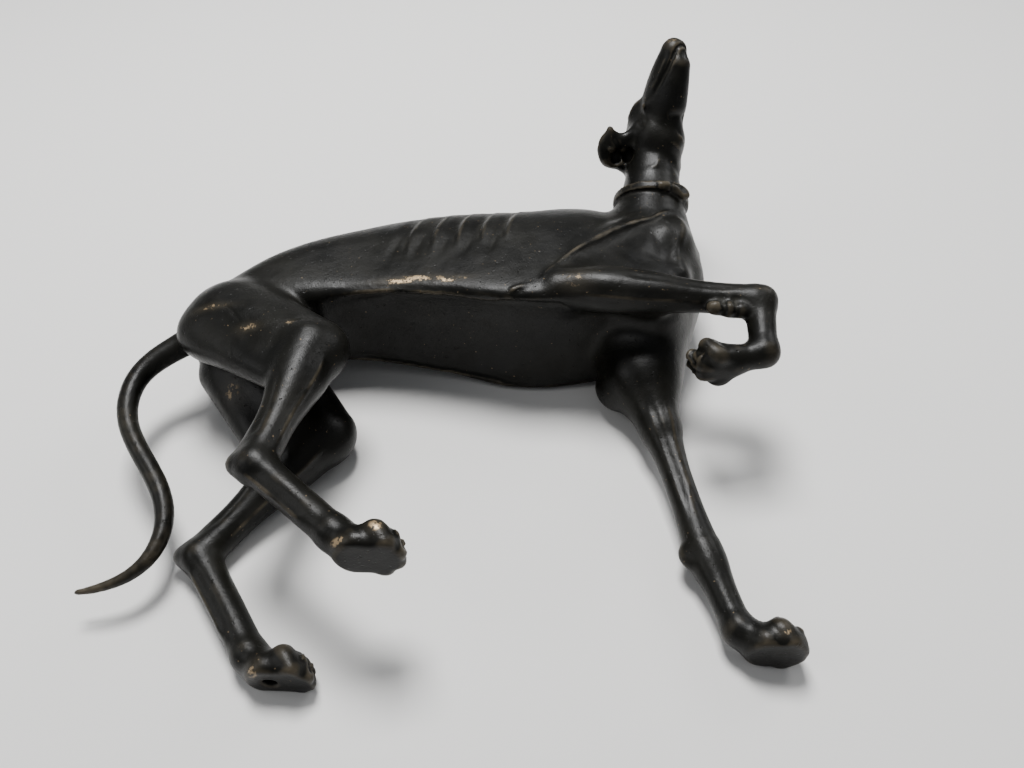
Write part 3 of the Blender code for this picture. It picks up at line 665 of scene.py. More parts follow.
@dataclass(frozen=True)
class Trunk:
    """Rib cage, tucked loin and pelvis, with the marks of both flanks."""

    croup_x: float = REAR_X + 0.14 * BODY_LENGTH
    loin_x: float = REAR_X + 0.352 * BODY_LENGTH
    chest_x: float = REAR_X + 0.656 * BODY_LENGTH
    rump_drop: float = 68.5
    croup_drop: float = 35.5
    loin_drop: float = 8.5
    withers_rise: float = 2.6
    breast_drop: float = 11.5
    rump_depth: float = 24.0
    pelvis_depth: float = 51.0
    loin_depth: float = 70.5
    breast_depth: float = 72.0
    pelvis_half_width: float = 23.5
    loin_half_width: float = 26.0
    chest_half_width: float = 33.5
    breast_half_width: float = 19.0
    belly_square: float = 9.0
    back_round: float = 2.1
    belly_hollow: float = 5.5
    rib_count: int = 5
    rib_spacing: float = 12.5
    rib_slant: float = 0.26
    rib_curve: float = 0.0145
    rib_fall: float = 54.0
    rib_start: float = 4.0
    rib_relief: float = 0.8

    def press(self, clay: Clay) -> None:
        """Press the trunk from sections along X.

        Args:
            clay: The block.
        """
        front_end = BREAST_X + 12.0
        ribs_x = (self.loin_x + self.chest_x) / 2
        keys = (REAR_X, self.croup_x, self.loin_x, ribs_x, self.chest_x, WITHERS_X, BREAST_X, front_end)
        top = (BACK_Y - self.rump_drop, BACK_Y - self.croup_drop, BACK_Y - self.loin_drop,
               BACK_Y - self.loin_drop / 2 + 3.0,
               BACK_Y, BACK_Y + self.withers_rise, BACK_Y - self.breast_drop,
               BACK_Y - self.breast_drop - 9.0)
        depth = (self.rump_depth, self.pelvis_depth, self.loin_depth,
                 (self.loin_depth + CHEST_DEPTH) / 2 + 1.2, CHEST_DEPTH,
                 CHEST_DEPTH, self.breast_depth, self.breast_depth * 0.5)
        width = (self.pelvis_half_width * 0.6, self.pelvis_half_width, self.loin_half_width,
                 self.chest_half_width * 0.9,
                 self.chest_half_width, self.chest_half_width * 0.97, self.breast_half_width,
                 self.breast_half_width * 0.5)
        reach = 8.0
        cut, points = clay.window((REAR_X - reach, BELLY_Y - 4 * reach, 0.0),
                                  (front_end + reach, BACK_Y + reach, 2.0 * TRUNK_MID_Z + reach), reach)
        x, y, z = points[..., 0], points[..., 1], points[..., 2]
        high = ease(keys, top, x)
        half = ease(keys, depth, x) / 2
        wide = ease(keys, width, x)
        up = (y - (high - half)) / half
        side = (z - TRUNK_MID_Z) / wide
        # Round over the back, square below, so that an edge runs along each side of the belly.
        square = ease((REAR_X, self.croup_x, self.loin_x, WITHERS_X, BREAST_X),
                      (2.2, 3.0, self.belly_square, self.belly_square, 2.4), x)
        power = np.where(up < 0.0, square, self.back_round)
        radius = (np.abs(up) ** power + np.abs(side) ** power) ** (1.0 / power)
        distance = (radius - 1.0) * np.minimum(half, wide)
        # The underside is hollow between its two edges.
        under = np.clip(-up, 0.0, 1.2) ** 6 * np.clip(1.0 - side * side * 1.3, 0.0, 1.0)
        share = ease((self.loin_x - 20.0, self.loin_x, WITHERS_X, WITHERS_X + 25.0), (0.0, 1.0, 1.0, 0.0),
                     x)
        distance = distance + self.belly_hollow * under * share
        # Ribs show as low slanting waves on both flanks.
        lean = (y - BACK_Y * 0.63) * self.rib_slant
        phase = (x - self.loin_x - self.rib_start - lean) / self.rib_spacing
        along_ribs = np.clip(phase, 0.0, 1.0) * np.clip(self.rib_count + 1.0 - phase, 0.0, 1.0)
        band = np.exp(-((up - 0.15) / 0.5) ** 4)
        distance = distance + self.rib_relief * np.abs(np.cos(np.pi * phase)) ** 6 * along_ribs * band
        ends = np.maximum(REAR_X - x, x - front_end)
        distance = np.where(ends > 0.0, np.maximum(distance, 0.0) + ends, distance)
        clay.add(cut, distance, SOFT_LIMB)

    def strokes(self) -> list[Stroke]:
        """Rib grooves, the belly's edges, the shoulder blade and the breast.

        Returns:
            The marks.
        """
        marks = []
        flank_z = TRUNK_MID_Z + self.chest_half_width
        for rib in range(1, self.rib_count + 1):
            path = []
            for fall in (9.0, 20.0, 31.0, 42.0, self.rib_fall + 4.0 - 2.0 * rib):
                y = BACK_Y - fall
                lean = self.rib_slant * self.rib_curve * (y - BACK_Y + self.rib_fall) ** 2
                x = self.loin_x + self.rib_start + self.rib_spacing * rib + lean
                path.append((x, y, flank_z - 0.004 * (fall - 40.0) ** 2))
            marks += both("rib", tuple(path), 1.9, 0.7)
            marks += both("rib_crest", tuple((x + 3.0, y, z) for x, y, z in path), 1.6, 0.35, Tool.RIDGE)
        edge = ((self.loin_x - 14.0, 18.5, 54.0), (self.loin_x + 10.0, 17.5, 57.0),
                (self.loin_x + 34.0, 13.0, 59.0), (self.chest_x - 8.0, 9.5, 61.0),
                (self.chest_x + 6.0, 12.0, 65.0))
        marks += both("belly_edge", edge, 1.3, 1.2, Tool.RIDGE)
        under = tuple((x, y - 6.5, z - 3.5) for x, y, z in edge)
        marks += both("under_edge", under, 2.2, 0.8)
        shoulder = ((self.chest_x + 9.0, 12.0, 67.0), (self.chest_x + 24.0, 31.0, 68.0),
                    (self.chest_x + 39.0, 45.0, 68.0), (self.chest_x + 54.0, 58.0, 66.0),
                    (self.chest_x + 70.0, 68.0, 64.0), (self.chest_x + 84.0, 77.0, 61.0))
        marks.append(Stroke("shoulder_crest", shoulder, 1.5, 1.1, Tool.RIDGE))
        pit = tuple((x + 7.0, y - 8.0, z) for x, y, z in shoulder[1:5])
        marks.append(Stroke("arm_pit", pit, 7.0, 1.6))
        plane = tuple((x + 15.0, y - 14.0, z) for x, y, z in shoulder[2:5])
        marks.append(Stroke("shoulder_plane", plane, 6.0, 0.9))
        keel = ((BREAST_X + 1.0, 74.0, 60.0), (BREAST_X - 1.0, 54.0, 60.0), (BREAST_X - 4.0, 37.0, 58.0))
        marks.append(Stroke("breast_ridge", keel, 3.0, 1.2, Tool.RIDGE))
        marks.append(Stroke("breast_plane", tuple((x - 13.0, y, z + 2.0) for x, y, z in keel), 4.5, 0.7))
        for step in (0.0, 6.0, 12.0):
            tuft = ((self.chest_x + step, 10.0 - step * 0.2, 64.0 - step * 0.6),
                    (self.chest_x + 6.0 + step, 6.5, 60.0), (self.chest_x + 13.0 + step, 5.0, 56.0))
            marks.append(Stroke("elbow_fold", tuft, 1.2, 0.4))
        return marks

    def back_strokes(self) -> list[Stroke]:
        """The spine and the hollows of the loin beside it.

        Returns:
            The marks.
        """
        ridge = ((self.croup_x + 6.0, 66.0), (self.loin_x, 92.0), (self.chest_x - 30.0, 100.0),
                 (self.chest_x + 10.0, 102.0), (WITHERS_X, 104.0))
        spine = tuple((x, y, TRUNK_MID_Z) for x, y in ridge)
        marks = [Stroke("spine", spine, 3.0, 0.9, Tool.RIDGE)]
        beside = tuple((x, y - 3.0, z + 9.0) for x, y, z in spine)
        marks += both("loin_muscle", beside, 3.6, 0.7)
        return marks


@dataclass(frozen=True)
class Head:
    """Neck, skull, muzzle, ears and the collar cast round the neck."""

    neck_base_radius: float = 26.5
    neck_top_radius: float = 15.0
    skull_length: float = 15.5
    skull_radius: float = 17.5
    cheek_radius: float = 14.6
    muzzle_radius: float = 10.4
    jaw_radius: float = 8.4
    nose_radius: float = 7.2
    ear_length: float = 10.4
    ear_width: float = 7.6
    ear_thickness: float = 4.0
    ear_reach: float = 13.0
    ear_hollow: float = 3.6
    collar_radius: float = 19.2
    collar_width: float = 4.6
    collar_thickness: float = 1.8
    collar_rise: float = 30.0
    buckle_size: float = 4.0

    def press(self, clay: Clay) -> None:
        """Press the neck, the head and the collar.

        Args:
            clay: The block.
        """
        head = HeadFrame()
        waist = along(NECK_BASE, NECK_TURN, NECK_LENGTH * 0.62)
        clay.chain((NECK_BASE, waist, head.top),
                   (self.neck_base_radius, self.neck_top_radius * 1.08, self.neck_top_radius),
                   SOFT_MUSCLE * 1.6)
        clay.egg(head.at(0.17, 3.5), (self.skull_length, self.cheek_radius, self.skull_radius), head.way,
                 head.across, SOFT_LIMB)
        # Upper muzzle to the nose, lower jaw a little shorter.
        clay.chain((head.at(0.26, 2.5), head.at(0.50, 3.4), head.at(0.74, 2.8), head.at(0.90, 2.2)),
                   (self.cheek_radius * 0.74, self.muzzle_radius * 1.05, self.muzzle_radius * 0.90,
                    self.nose_radius), SOFT_LIMB)
        clay.egg(head.at(0.15, -7.5), (11.0, 10.5, 8.5), head.way, head.across, SOFT_LIMB)
        clay.chain((head.at(0.28, -4.6), head.at(0.50, -4.2), head.at(0.80, -3.6)),
                   (self.jaw_radius * 0.92, self.jaw_radius, self.jaw_radius * 0.74), SOFT_LIMB)
        clay.egg(head.at(0.95, 4.2), (4.0, 4.6, 3.6), head.way, head.across, SOFT_DETAIL)
        for side in (-1.0, 1.0):
            clay.egg(head.at(0.17, -1.0, side * 7.5), (10.0, 6.5, 8.0), head.way, head.across, SOFT_LIMB)
            clay.egg(head.at(0.32, 13.0, side * 5.0), (9.5, 5.0, 6.5), head.way, head.across, SOFT_LIMB)
            clay.egg(head.at(0.44, 4.0, side * 10.5), (3.4, 2.4, 2.6), head.way, head.across, SOFT_DETAIL)
            self.ear(clay, head, side)
        collar = along(NECK_BASE, NECK_TURN, self.collar_rise)
        clay.ring(collar, NECK_TURN, self.collar_radius, self.collar_width, self.collar_thickness,
                  SOFT_DETAIL)
        buckle = collar + unit((0.75, -0.35, 0.70)) * self.collar_radius
        clay.egg(buckle, (self.buckle_size * 1.6, self.buckle_size, self.buckle_size * 0.6),
                 (0.6, -0.5, -0.2), NECK_TURN, SOFT_DETAIL)

    def ear(self, clay: Clay, head: HeadFrame, side: float) -> None:
        """A rose ear: a fan folded back from the skull, hollow under its front flap.

        Args:
            clay: The block.
            head: The head's places.
            side: 1 or -1, across the head.
        """
        lean = unit(head.across * side * 0.80 + head.crown * 0.42 - head.way * 0.12)
        root = head.at(0.06, 6.0, side * 11.5)
        middle = root + lean * self.ear_reach
        clay.bone(root, middle, self.ear_width * 0.8, self.ear_thickness * 0.8, SOFT_LIMB, head.crown, 0.7)
        clay.egg(middle, (self.ear_length, self.ear_width, self.ear_thickness), head.way + lean * 0.18,
                 lean, SOFT_DETAIL)
        # The front fold climbs from the flap to the temple.
        clay.bone(root + head.way * self.ear_length * 0.9, middle + head.way * self.ear_length * 0.1, 3.0,
                  3.6, SOFT_LIMB)
        clay.bone(middle, middle + head.way * self.ear_length * 1.02 + lean * 2.4, self.ear_thickness, 2.0,
                  SOFT_DETAIL)
        clay.bone(middle - head.way * self.ear_length * 0.5, head.at(-0.12, 5.0, side * 10.0), 3.2, 5.0,
                  SOFT_LIMB)
        low = middle - head.way * self.ear_length * 0.30 - head.crown * self.ear_thickness * 0.95
        for inward in (0.20, 1.10):
            clay.egg(low - lean * self.ear_width * inward,
                     (self.ear_hollow * 1.15, self.ear_hollow * 0.9, self.ear_hollow),
                     head.way, lean, SOFT_DETAIL, True)

    def strokes(self) -> list[Stroke]:
        """Mouth, nostrils, eyes, brows, cheek folds and the throat's tendons.

        Returns:
            The marks.
        """
        head = HeadFrame()
        lips = [(0.52, 0.0, 11.0), (0.65, -2.0, 10.0), (0.78, -3.6, 8.6), (0.89, -4.0, 6.2),
                (0.96, -3.6, 3.2)]
        lips += [(0.985, -3.4, 0.0)] + [(ahead, up, -side) for ahead, up, side in reversed(lips)]
        marks = [Stroke("mouth", tuple(head.at(*place) for place in lips), 0.9, 1.2)]
        for side in (-1.0, 1.0):
            edge = tuple(head.at(a, u, s * side)
                         for a, u, s in ((0.56, 2.0, 12.0), (0.72, 0.5, 10.5), (0.88, -0.8, 7.5)))
            marks.append(Stroke("lip_edge", edge, 1.1, 0.5, Tool.RIDGE))
            eye = head.at(0.44, 4.0, 12.5 * side)
            for rise in (-1.0, 1.0):
                lid = tuple(eye + head.way * ahead + head.crown * (rise * up)
                            for ahead, up in ((-3.4, 0.6), (0.0, 2.2), (3.2, 0.6)))
                marks.append(Stroke("eyelid", lid, 0.9, 0.8))
            nostril = tuple(head.at(a, 4.6, s * side) for a, s in ((0.985, 1.6), (0.99, 2.6), (0.975, 3.6)))
            marks.append(Stroke("nostril", nostril, 1.0, 1.2))
            for a, s in ((0.34, 12.0), (0.27, 13.0)):
                fold = tuple(head.at(a + step, u, s * side)
                             for u, step in ((7.0, 0.04), (3.0, 0.01), (-1.0, -0.03)))
                marks.append(Stroke("cheek_fold", fold, 1.3, 0.45))
            brow = tuple(head.at(a, u, s * side)
                         for a, u, s in ((0.50, 9.0, 7.0), (0.40, 14.0, 9.0), (0.26, 17.0, 10.0)))
            marks.append(Stroke("brow", brow, 1.6, 0.9, Tool.RIDGE))
            tendon = tuple(head.at(a, -11.0, s * side) for a, s in ((0.0, 8.0), (-0.16, 8.5), (-0.32, 9.0)))
            marks.append(Stroke("throat_tendon", tendon, 1.5, 0.6, Tool.RIDGE))
            marks.append(Stroke("throat_hollow", tuple(p - head.across * side * 4.0 for p in tendon), 2.6,
                                0.5))
        jaw = tuple(head.at(a, -12.0, s) for a, s in ((0.38, -8.0), (0.42, 0.0), (0.38, 8.0)))
        marks.append(Stroke("jaw_end", jaw, 2.2, 1.1))
        bulge = tuple(head.at(a, -16.0, s) for a, s in ((0.24, -3.0), (0.20, 0.0), (0.14, 2.0)))
        marks.append(Stroke("throat_bulge", bulge, 4.5, 1.2, Tool.RIDGE))
        return marks + self.ear_strokes(head) + self.collar_strokes()

    def ear_strokes(self, head: HeadFrame) -> list[Stroke]:
        """Folds in the flap of each ear and its thin rim.

        Args:
            head: The head's places.

        Returns:
            The marks.
        """
        marks = []
        for side in (-1.0, 1.0):
            lean = unit(head.across * side * 0.80 + head.crown * 0.42 - head.way * 0.12)
            middle = head.at(0.06, 6.0, side * 11.5) + lean * self.ear_reach - head.crown * self.ear_thickness
            rows = (("ear_fold", ((0.0, -4.0), (3.5, 0.0), (8.0, 2.0)), 1.2, 0.6, Tool.GROOVE),
                    ("ear_flap", ((-0.5, -7.0), (-0.5, 0.0), (2.0, 5.0)), 1.1, 0.7, Tool.RIDGE),
                    ("ear_rim", ((-8.0, -4.0), (-8.5, 2.0), (-4.0, 6.5)), 1.1, 0.5, Tool.RIDGE))
            for name, path, width, depth, tool in rows:
                places = tuple(middle + head.way * way + lean * out for way, out in path)
                marks.append(Stroke(name, places, width, depth, tool))
        return marks

    def collar_strokes(self) -> list[Stroke]:
        """Both edges of the collar, its knot and its strap's tongue.

        Returns:
            The marks.
        """
        way = unit(NECK_TURN)
        first = unit(np.cross(way, (0.0, 0.0, 1.0)))
        second = np.cross(way, first)
        marks = []
        for shift in (-1.0, 1.0):
            middle = along(NECK_BASE, NECK_TURN, self.collar_rise + shift * self.collar_width * 0.72)
            ring = tuple(middle + (self.collar_radius + 1.0) * (first * math.cos(a) + second * math.sin(a))
                         for a in np.linspace(-0.3, 2.0 * math.pi + 0.3, 15))
            marks.append(Stroke("collar_edge", ring, 0.9, 0.7))
        knot = ((103.0, 88.0, 71.0), (107.0, 89.0, 70.0), (110.0, 90.0, 69.0))
        strap = ((110.0, 90.0, 69.0), (115.0, 89.0, 66.0), (119.0, 86.0, 62.0))
        marks.append(Stroke("knot", knot, 2.4, 1.8, Tool.RIDGE))
        marks.append(Stroke("strap", strap, 2.2, 1.5, Tool.RIDGE))
        return marks


@dataclass(frozen=True)
class ForeLegs:
    """The straight left fore leg and the raised right one."""

    left_shoulder: tuple = (BREAST_X - 10.0, 48.0, 22.0)
    shoulder_radius: float = 21.0
    left_elbow_radius: float = 17.0
    forearm_radius: float = 7.0
    wrist_radius: float = 8.2
    pastern_radius: float = 6.0
    wrist_pad: float = 3.4
    elbow_point: float = 7.5
    right_forearm_radius: float = 10.6
    crest_radius: float = 7.6
    upper_arm_radius: float = 14.0

    def press(self, clay: Clay) -> None:
        """Press both fore legs and their paws.

        Args:
            clay: The block.
        """
        places = [along(LEFT_ELBOW, LEFT_FOREARM_TURN, LEFT_FOREARM * share)
                  for share in (0.0, 0.16, 0.34, 0.55, 0.8, 0.96)]
        wrist = along(LEFT_ELBOW, LEFT_FOREARM_TURN, LEFT_FOREARM)
        fetlock = along(wrist, LEFT_PASTERN_TURN, LEFT_PASTERN)
        clay.bone(self.left_shoulder, LEFT_ELBOW, self.shoulder_radius, self.left_elbow_radius,
                  SOFT_MUSCLE * 2.4)
        clay.egg((BREAST_X + 3.0, 50.0, TRUNK_MID_Z + 8.0), (15.0, 9.0, 10.0), (0.1, 1.0, 0.1),
                 (1.0, 0.0, 0.0), SOFT_MUSCLE)
        point = vec(LEFT_ELBOW) + vec((-2.0, -0.3, -1.1)) * self.elbow_point
        clay.egg(point, (self.elbow_point * 1.3, self.elbow_point * 0.9, self.elbow_point * 0.9),
                 (0.3, -0.9, 0.0), (1.0, 0.3, 0.0), SOFT_LIMB)
        places += [wrist, along(wrist, LEFT_PASTERN_TURN, 9.0), along(wrist, LEFT_PASTERN_TURN, 20.0),
                   fetlock]
        radii = (self.left_elbow_radius, 13.5, 9.6, self.forearm_radius, self.forearm_radius * 0.95,
                 self.wrist_radius * 0.92,
                 self.wrist_radius, self.wrist_radius * 0.98, self.pastern_radius * 1.08,
                 self.pastern_radius)
        upper = [along(LEFT_ELBOW, LEFT_FOREARM_TURN, -0.32 * LEFT_FOREARM)] + places[:3]
        clay.chain(upper, (self.shoulder_radius * 0.75,) + radii[:3], SOFT_MUSCLE * 2.0)
        clay.chain(places[2:], radii[2:], SOFT_LIMB)
        clay.egg(wrist + (-6.6, -5.0, 0.0), (self.wrist_pad * 1.5, self.wrist_pad, self.wrist_pad),
                 (0.2, -1.0, 0.0), (1.0, 0.0, 0.0), SOFT_LIMB)
        Paw(fetlock, LEFT_FORE_PAW_TURN, LEFT_FORE_PAW_LENGTH).press(clay)

        elbow = vec(RIGHT_ELBOW)
        # Upper arm: a crest along the back of it and a fuller mass to the point of the shoulder.
        shoulder = (BREAST_X - 6.0, BACK_Y - 33.0, TRUNK_MID_Z + 17.0)
        clay.bone(shoulder, elbow + (4.0, 2.0, -7.0), self.upper_arm_radius, self.upper_arm_radius * 0.6,
                  SOFT_MUSCLE)
        crest = [elbow + (-4.0, 5.0, -4.0), elbow + (5.0, 18.0, -2.0), elbow + (19.0, 32.0, -2.0),
                 elbow + (35.0, 46.0, -4.0), elbow + (51.0, 57.0, -8.0), elbow + (64.0, 56.0, -16.0)]
        clay.chain(crest, [self.crest_radius * share for share in (0.8, 0.85, 0.95, 1.0, 1.05, 1.1)],
                   SOFT_LIMB)
        clay.bone(crest[-1], elbow + (60.0, 22.0, -12.0), self.crest_radius, self.crest_radius * 0.9,
                  SOFT_MUSCLE)
        wrist = along(elbow, RIGHT_FOREARM_TURN, RIGHT_FOREARM)
        fetlock = along(wrist, RIGHT_PASTERN_TURN, RIGHT_PASTERN)
        places = [along(elbow, RIGHT_FOREARM_TURN, RIGHT_FOREARM * share)
                  for share in (0.0, 0.2, 0.45, 0.72, 0.94, 1.0)]
        girths = (0.74, 1.0, 0.93, 0.66, 0.72, 0.64)
        radii = [self.right_forearm_radius * girth for girth in girths]
        clay.chain(places, radii, SOFT_MUSCLE)
        clay.bone(wrist, fetlock, radii[-1], self.pastern_radius * 0.95, SOFT_MUSCLE)
        for ahead, fall, size in ((-21.0, -5.5, 3.4), (-14.5, -6.5, 3.9), (-10.0, -7.5, 3.0)):
            clay.egg(wrist + (ahead, fall, 1.0), (size * 1.2, size * 0.8, size), (1.0, -0.1, 0.0),
                     (0.0, 1.0, 0.0), SOFT_LIMB)
        self.raised_paw(clay, fetlock)

    def raised_paw(self, clay: Clay, fetlock: np.ndarray) -> None:
        """The curled-back paw of the raised leg, its toes clenched.

        Args:
            clay: The block.
            fetlock: Where the paw starts.
        """
        turn = unit(RIGHT_PAW_TURN)
        across = unit(np.cross(turn, (0.0, -1.0, 0.0)))
        palm = fetlock + turn * RIGHT_PAW_LENGTH * 0.40 + vec((0.0, -1.5, 0.0))
        end = palm + turn * 7.0 + vec((0.0, 2.0, 0.0))
        clay.chain((fetlock, palm, end), (self.pastern_radius * 0.95, self.pastern_radius * 1.05,
                                          PAW_RADIUS * 0.95), SOFT_MUSCLE)
        clay.bone(palm, end, PAW_RADIUS * 0.75, PAW_RADIUS * 0.9, SOFT_LIMB, across, 1.3)
        for toe, reach in ((-1.5, 0.82), (-0.5, 0.98), (0.5, 0.98), (1.5, 0.82)):
            side = across * toe * PAW_SPREAD * 0.9
            back = fetlock + turn * RIGHT_PAW_LENGTH * 0.45 + side * 0.6 + vec((0.0, -3.6, 0.0))
            bent = fetlock + turn * RIGHT_PAW_LENGTH * (reach - 0.22)
            knuckle = bent + side * 0.95 + vec((0.0, -3.2, 0.0))
            tip = fetlock + turn * (RIGHT_PAW_LENGTH * reach - TOE_RADIUS) + side + vec((0.0, 2.8, 0.0))
            clay.chain((back, knuckle, tip), (TOE_RADIUS * 0.85, TOE_RADIUS * 1.1, TOE_RADIUS), SOFT_DETAIL)

    def strokes(self) -> list[Stroke]:
        """Tendons of both fore legs and the lumps of the raised wrist.

        Returns:
            The marks.
        """
        elbow = vec(RIGHT_ELBOW)
        marks = [
            Stroke("forearm_edge", tuple(along(elbow + (0.0, -9.0, 4.0), RIGHT_FOREARM_TURN,
                                               RIGHT_FOREARM * s)
                                         for s in (0.05, 0.3, 0.55, 0.8)), 1.5, 0.7, Tool.RIDGE),
            Stroke("forearm_top", tuple(along(elbow + (0.0, 6.5, 7.5), RIGHT_FOREARM_TURN,
                                              RIGHT_FOREARM * s)
                                        for s in (0.1, 0.35, 0.6, 0.9)), 1.6, 0.6, Tool.RIDGE),
            Stroke("forearm_seam", tuple(along(elbow + (0.0, 0.0, 11.0), RIGHT_FOREARM_TURN,
                                               RIGHT_FOREARM * s)
                                         for s in (0.3, 0.5, 0.7, 0.9)), 1.7, 0.55),
        ]
        wrist = along(elbow, RIGHT_FOREARM_TURN, RIGHT_FOREARM)
        for ahead in (-18.2, -12.4):
            gap = tuple(wrist + (ahead, fall, out)
                        for fall, out in ((-2.0, 5.5), (-6.5, 5.5), (-10.5, 2.0), (-11.0, -3.0)))
            marks.append(Stroke("wrist_gap", gap, 1.3, 1.3))
        for side, reach in ((0.0, 0.94), (1.0, 0.80)):
            offset = (-3.0 + 6.0 * side, 0.0, 9.0)
            marks.append(Stroke("leg_tendon", tuple(along(vec(LEFT_ELBOW) + offset, LEFT_FOREARM_TURN,
                                                          LEFT_FOREARM * s)
                                                    for s in (0.22, 0.42, 0.62, reach)),
                                1.5, 0.6, Tool.RIDGE if side else Tool.GROOVE))
        return marks


@dataclass(frozen=True)
class HindLegs:
    """Thigh, shin, hock and paw on both sides."""

    left_hip: tuple = (REAR_X + 28.0, 8.0, 17.0)
    right_hip: tuple = (REAR_X + 26.0, 8.0, 45.0)
    thigh_radius: float = 24.5
    thigh_flatness: float = 0.74
    stifle_radius: float = 17.0
    calf_radius: float = 12.5
    shin_radius: float = 8.2
    hock_radius: float = 7.8
    hock_point: float = 8.0

    def press(self, clay: Clay) -> tuple:
        """Press both hind legs and their paws.

        Args:
            clay: The block.

        Returns:
            The left paw's sole: its point, its outward way, the paw's way and half of its reach.
        """
        rows = (
            (self.left_hip, LEFT_STIFLE, LEFT_SHIN_TURN, LEFT_SHIN, LEFT_HIND_PASTERN_TURN,
             LEFT_HIND_PASTERN, LEFT_HIND_PAW_TURN),
            (self.right_hip, RIGHT_STIFLE, RIGHT_SHIN_TURN, RIGHT_SHIN, RIGHT_HIND_PASTERN_TURN,
             RIGHT_HIND_PASTERN, RIGHT_HIND_PAW_TURN),
        )
        soles = []
        sideways = (0.0, 0.0, 1.0)
        for hip, stifle, shin_turn, shin, pastern_turn, pastern, paw_turn in rows:
            hip, stifle = vec(hip), vec(stifle)
            hock = along(stifle, shin_turn, shin)
            clay.bone(hip, stifle, self.thigh_radius, self.stifle_radius, SOFT_MUSCLE, sideways,
                      self.thigh_flatness)
            # The hamstring fills the angle between the seat bone and the calf.
            seat = hip + vec((-0.46, -0.23, 0.0)) * self.thigh_radius
            behind = along(stifle, shin_turn, shin * 0.22) + vec((-9.0, 2.0, 0.0))
            clay.bone(seat, behind, self.thigh_radius * 0.62, self.calf_radius * 0.85, SOFT_MUSCLE,
                      sideways, self.thigh_flatness)
            places = [along(stifle, shin_turn, shin * share) for share in (0.0, 0.28, 0.62, 0.9, 1.0)]
            fetlock = along(hock, pastern_turn, pastern)
            clay.chain(places, (self.stifle_radius * 0.85, self.calf_radius, self.shin_radius,
                                self.hock_radius * 0.95, self.hock_radius), SOFT_LIMB)
            # Heel bone standing out behind the hock, with the tendon that runs up from it.
            heel = hock + vec((-0.88, 0.05, 0.0)) * self.hock_point
            clay.bone(hock, heel, self.hock_radius * 0.8, self.hock_radius * 0.52, SOFT_LIMB)
            tendon = along(stifle, shin_turn, shin * 0.6) + vec((-3.5, 0.0, 0.0))
            clay.bone(tendon, heel, self.hock_radius * 0.55, self.hock_radius * 0.45, SOFT_LIMB)
            clay.chain((hock, along(hock, pastern_turn, pastern * 0.3), fetlock),
                       (self.hock_radius, HIND_PASTERN_RADIUS * 1.05, HIND_PASTERN_RADIUS), SOFT_LIMB)
            soles.append(Paw(fetlock, paw_turn, PAW_LENGTH).press(clay))
        return soles[0]

    def strokes(self) -> list[Stroke]:
        """Hollows of the heel and edges of the long bones.

        Returns:
            The marks.
        """
        marks = []
        rows = ((RIGHT_STIFLE, RIGHT_SHIN_TURN, RIGHT_SHIN, RIGHT_HIND_PASTERN_TURN, RIGHT_HIND_PASTERN),
                (LEFT_STIFLE, LEFT_SHIN_TURN, LEFT_SHIN, LEFT_HIND_PASTERN_TURN, LEFT_HIND_PASTERN))
        for stifle, shin_turn, shin, pastern_turn, pastern in rows:
            stifle = vec(stifle)
            hock = along(stifle, shin_turn, shin)
            out = vec((0.0, 0.0, 9.0))
            tendon = tuple(along(stifle, shin_turn, shin * s) + out + (-5.0, 0.0, 0.0)
                           for s in (0.35, 0.6, 0.85))
            marks.append(Stroke("heel_hollow", tendon, 2.4, 0.9))
            front = tuple(along(stifle, shin_turn, shin * s) + out * 0.6 + (8.0, -2.0, 0.0)
                          for s in (0.1, 0.5, 0.9))
            marks.append(Stroke("shin_edge", front, 1.3, 0.8, Tool.RIDGE))
            bone = tuple(along(hock, pastern_turn, pastern * s) + out + (-4.0, -4.0, 0.0)
                         for s in (0.1, 0.45, 0.8))
            marks.append(Stroke("pastern_seam", bone, 2.4, 0.6))
            side_edge = tuple(p + vec((-4.0, -3.0, -2.0)) for p in bone)
            marks.append(Stroke("pastern_edge", side_edge, 1.2, 0.6, Tool.RIDGE))
        return marks


@dataclass(frozen=True)
class Tail:
    """A long whip of a tail in an S; headings on the table in degrees, from its root to its tip."""

    length: float = 163.0
    root: tuple = (REAR_X + 5.8, 9.0, 37.0)
    root_radius: float = 6.6
    middle_radius: float = 4.6
    tip_radius: float = 1.3
    fall: float = -0.135
    headings: tuple = (217.0, 222.0, 264.0, 302.0, 299.0, 258.0, 205.0, 184.0)
    bends: tuple = (0.0, 0.12, 0.25, 0.42, 0.63, 0.78, 0.90, 1.0)

    def press(self, clay: Clay) -> None:
        """Press the tail, bend by bend.

        Args:
            clay: The block.
        """
        place = vec(self.root)
        steps = 40
        reach = self.length / steps
        shares = (np.arange(steps) + 0.5) / steps
        heading = np.radians(ease(self.bends, self.headings, shares))
        girths = (self.root_radius, self.middle_radius, self.middle_radius * 0.8, self.tip_radius)
        girth = ease((0.0, 0.3, 0.75, 1.0), girths, np.linspace(0.0, 1.0, steps + 1))
        points = [place]
        for angle in heading:
            place = place + reach * vec((math.cos(angle), math.sin(angle), self.fall))
            points.append(place)
        clay.chain(points, girth, SOFT_LIMB)


# The edge colour paints pale lines along proud ridges: partly worn patina, partly painted highlight.
PATINA = Finish(
    name="patina", base=(0.0018, 0.0018, 0.0014, 1.0), cloud=(0.0042, 0.0040, 0.0026, 1.0),
    edge=(0.115, 0.095, 0.065, 1.0), worn=(0.34, 0.25, 0.15, 1.0), dust=(0.030, 0.028, 0.021, 1.0),
    roughness=0.25, specular=0.19, bump=0.34, bump_height=0.0007,
)
FLOOR_TONE = (0.80, 0.79, 0.77, 1.0)


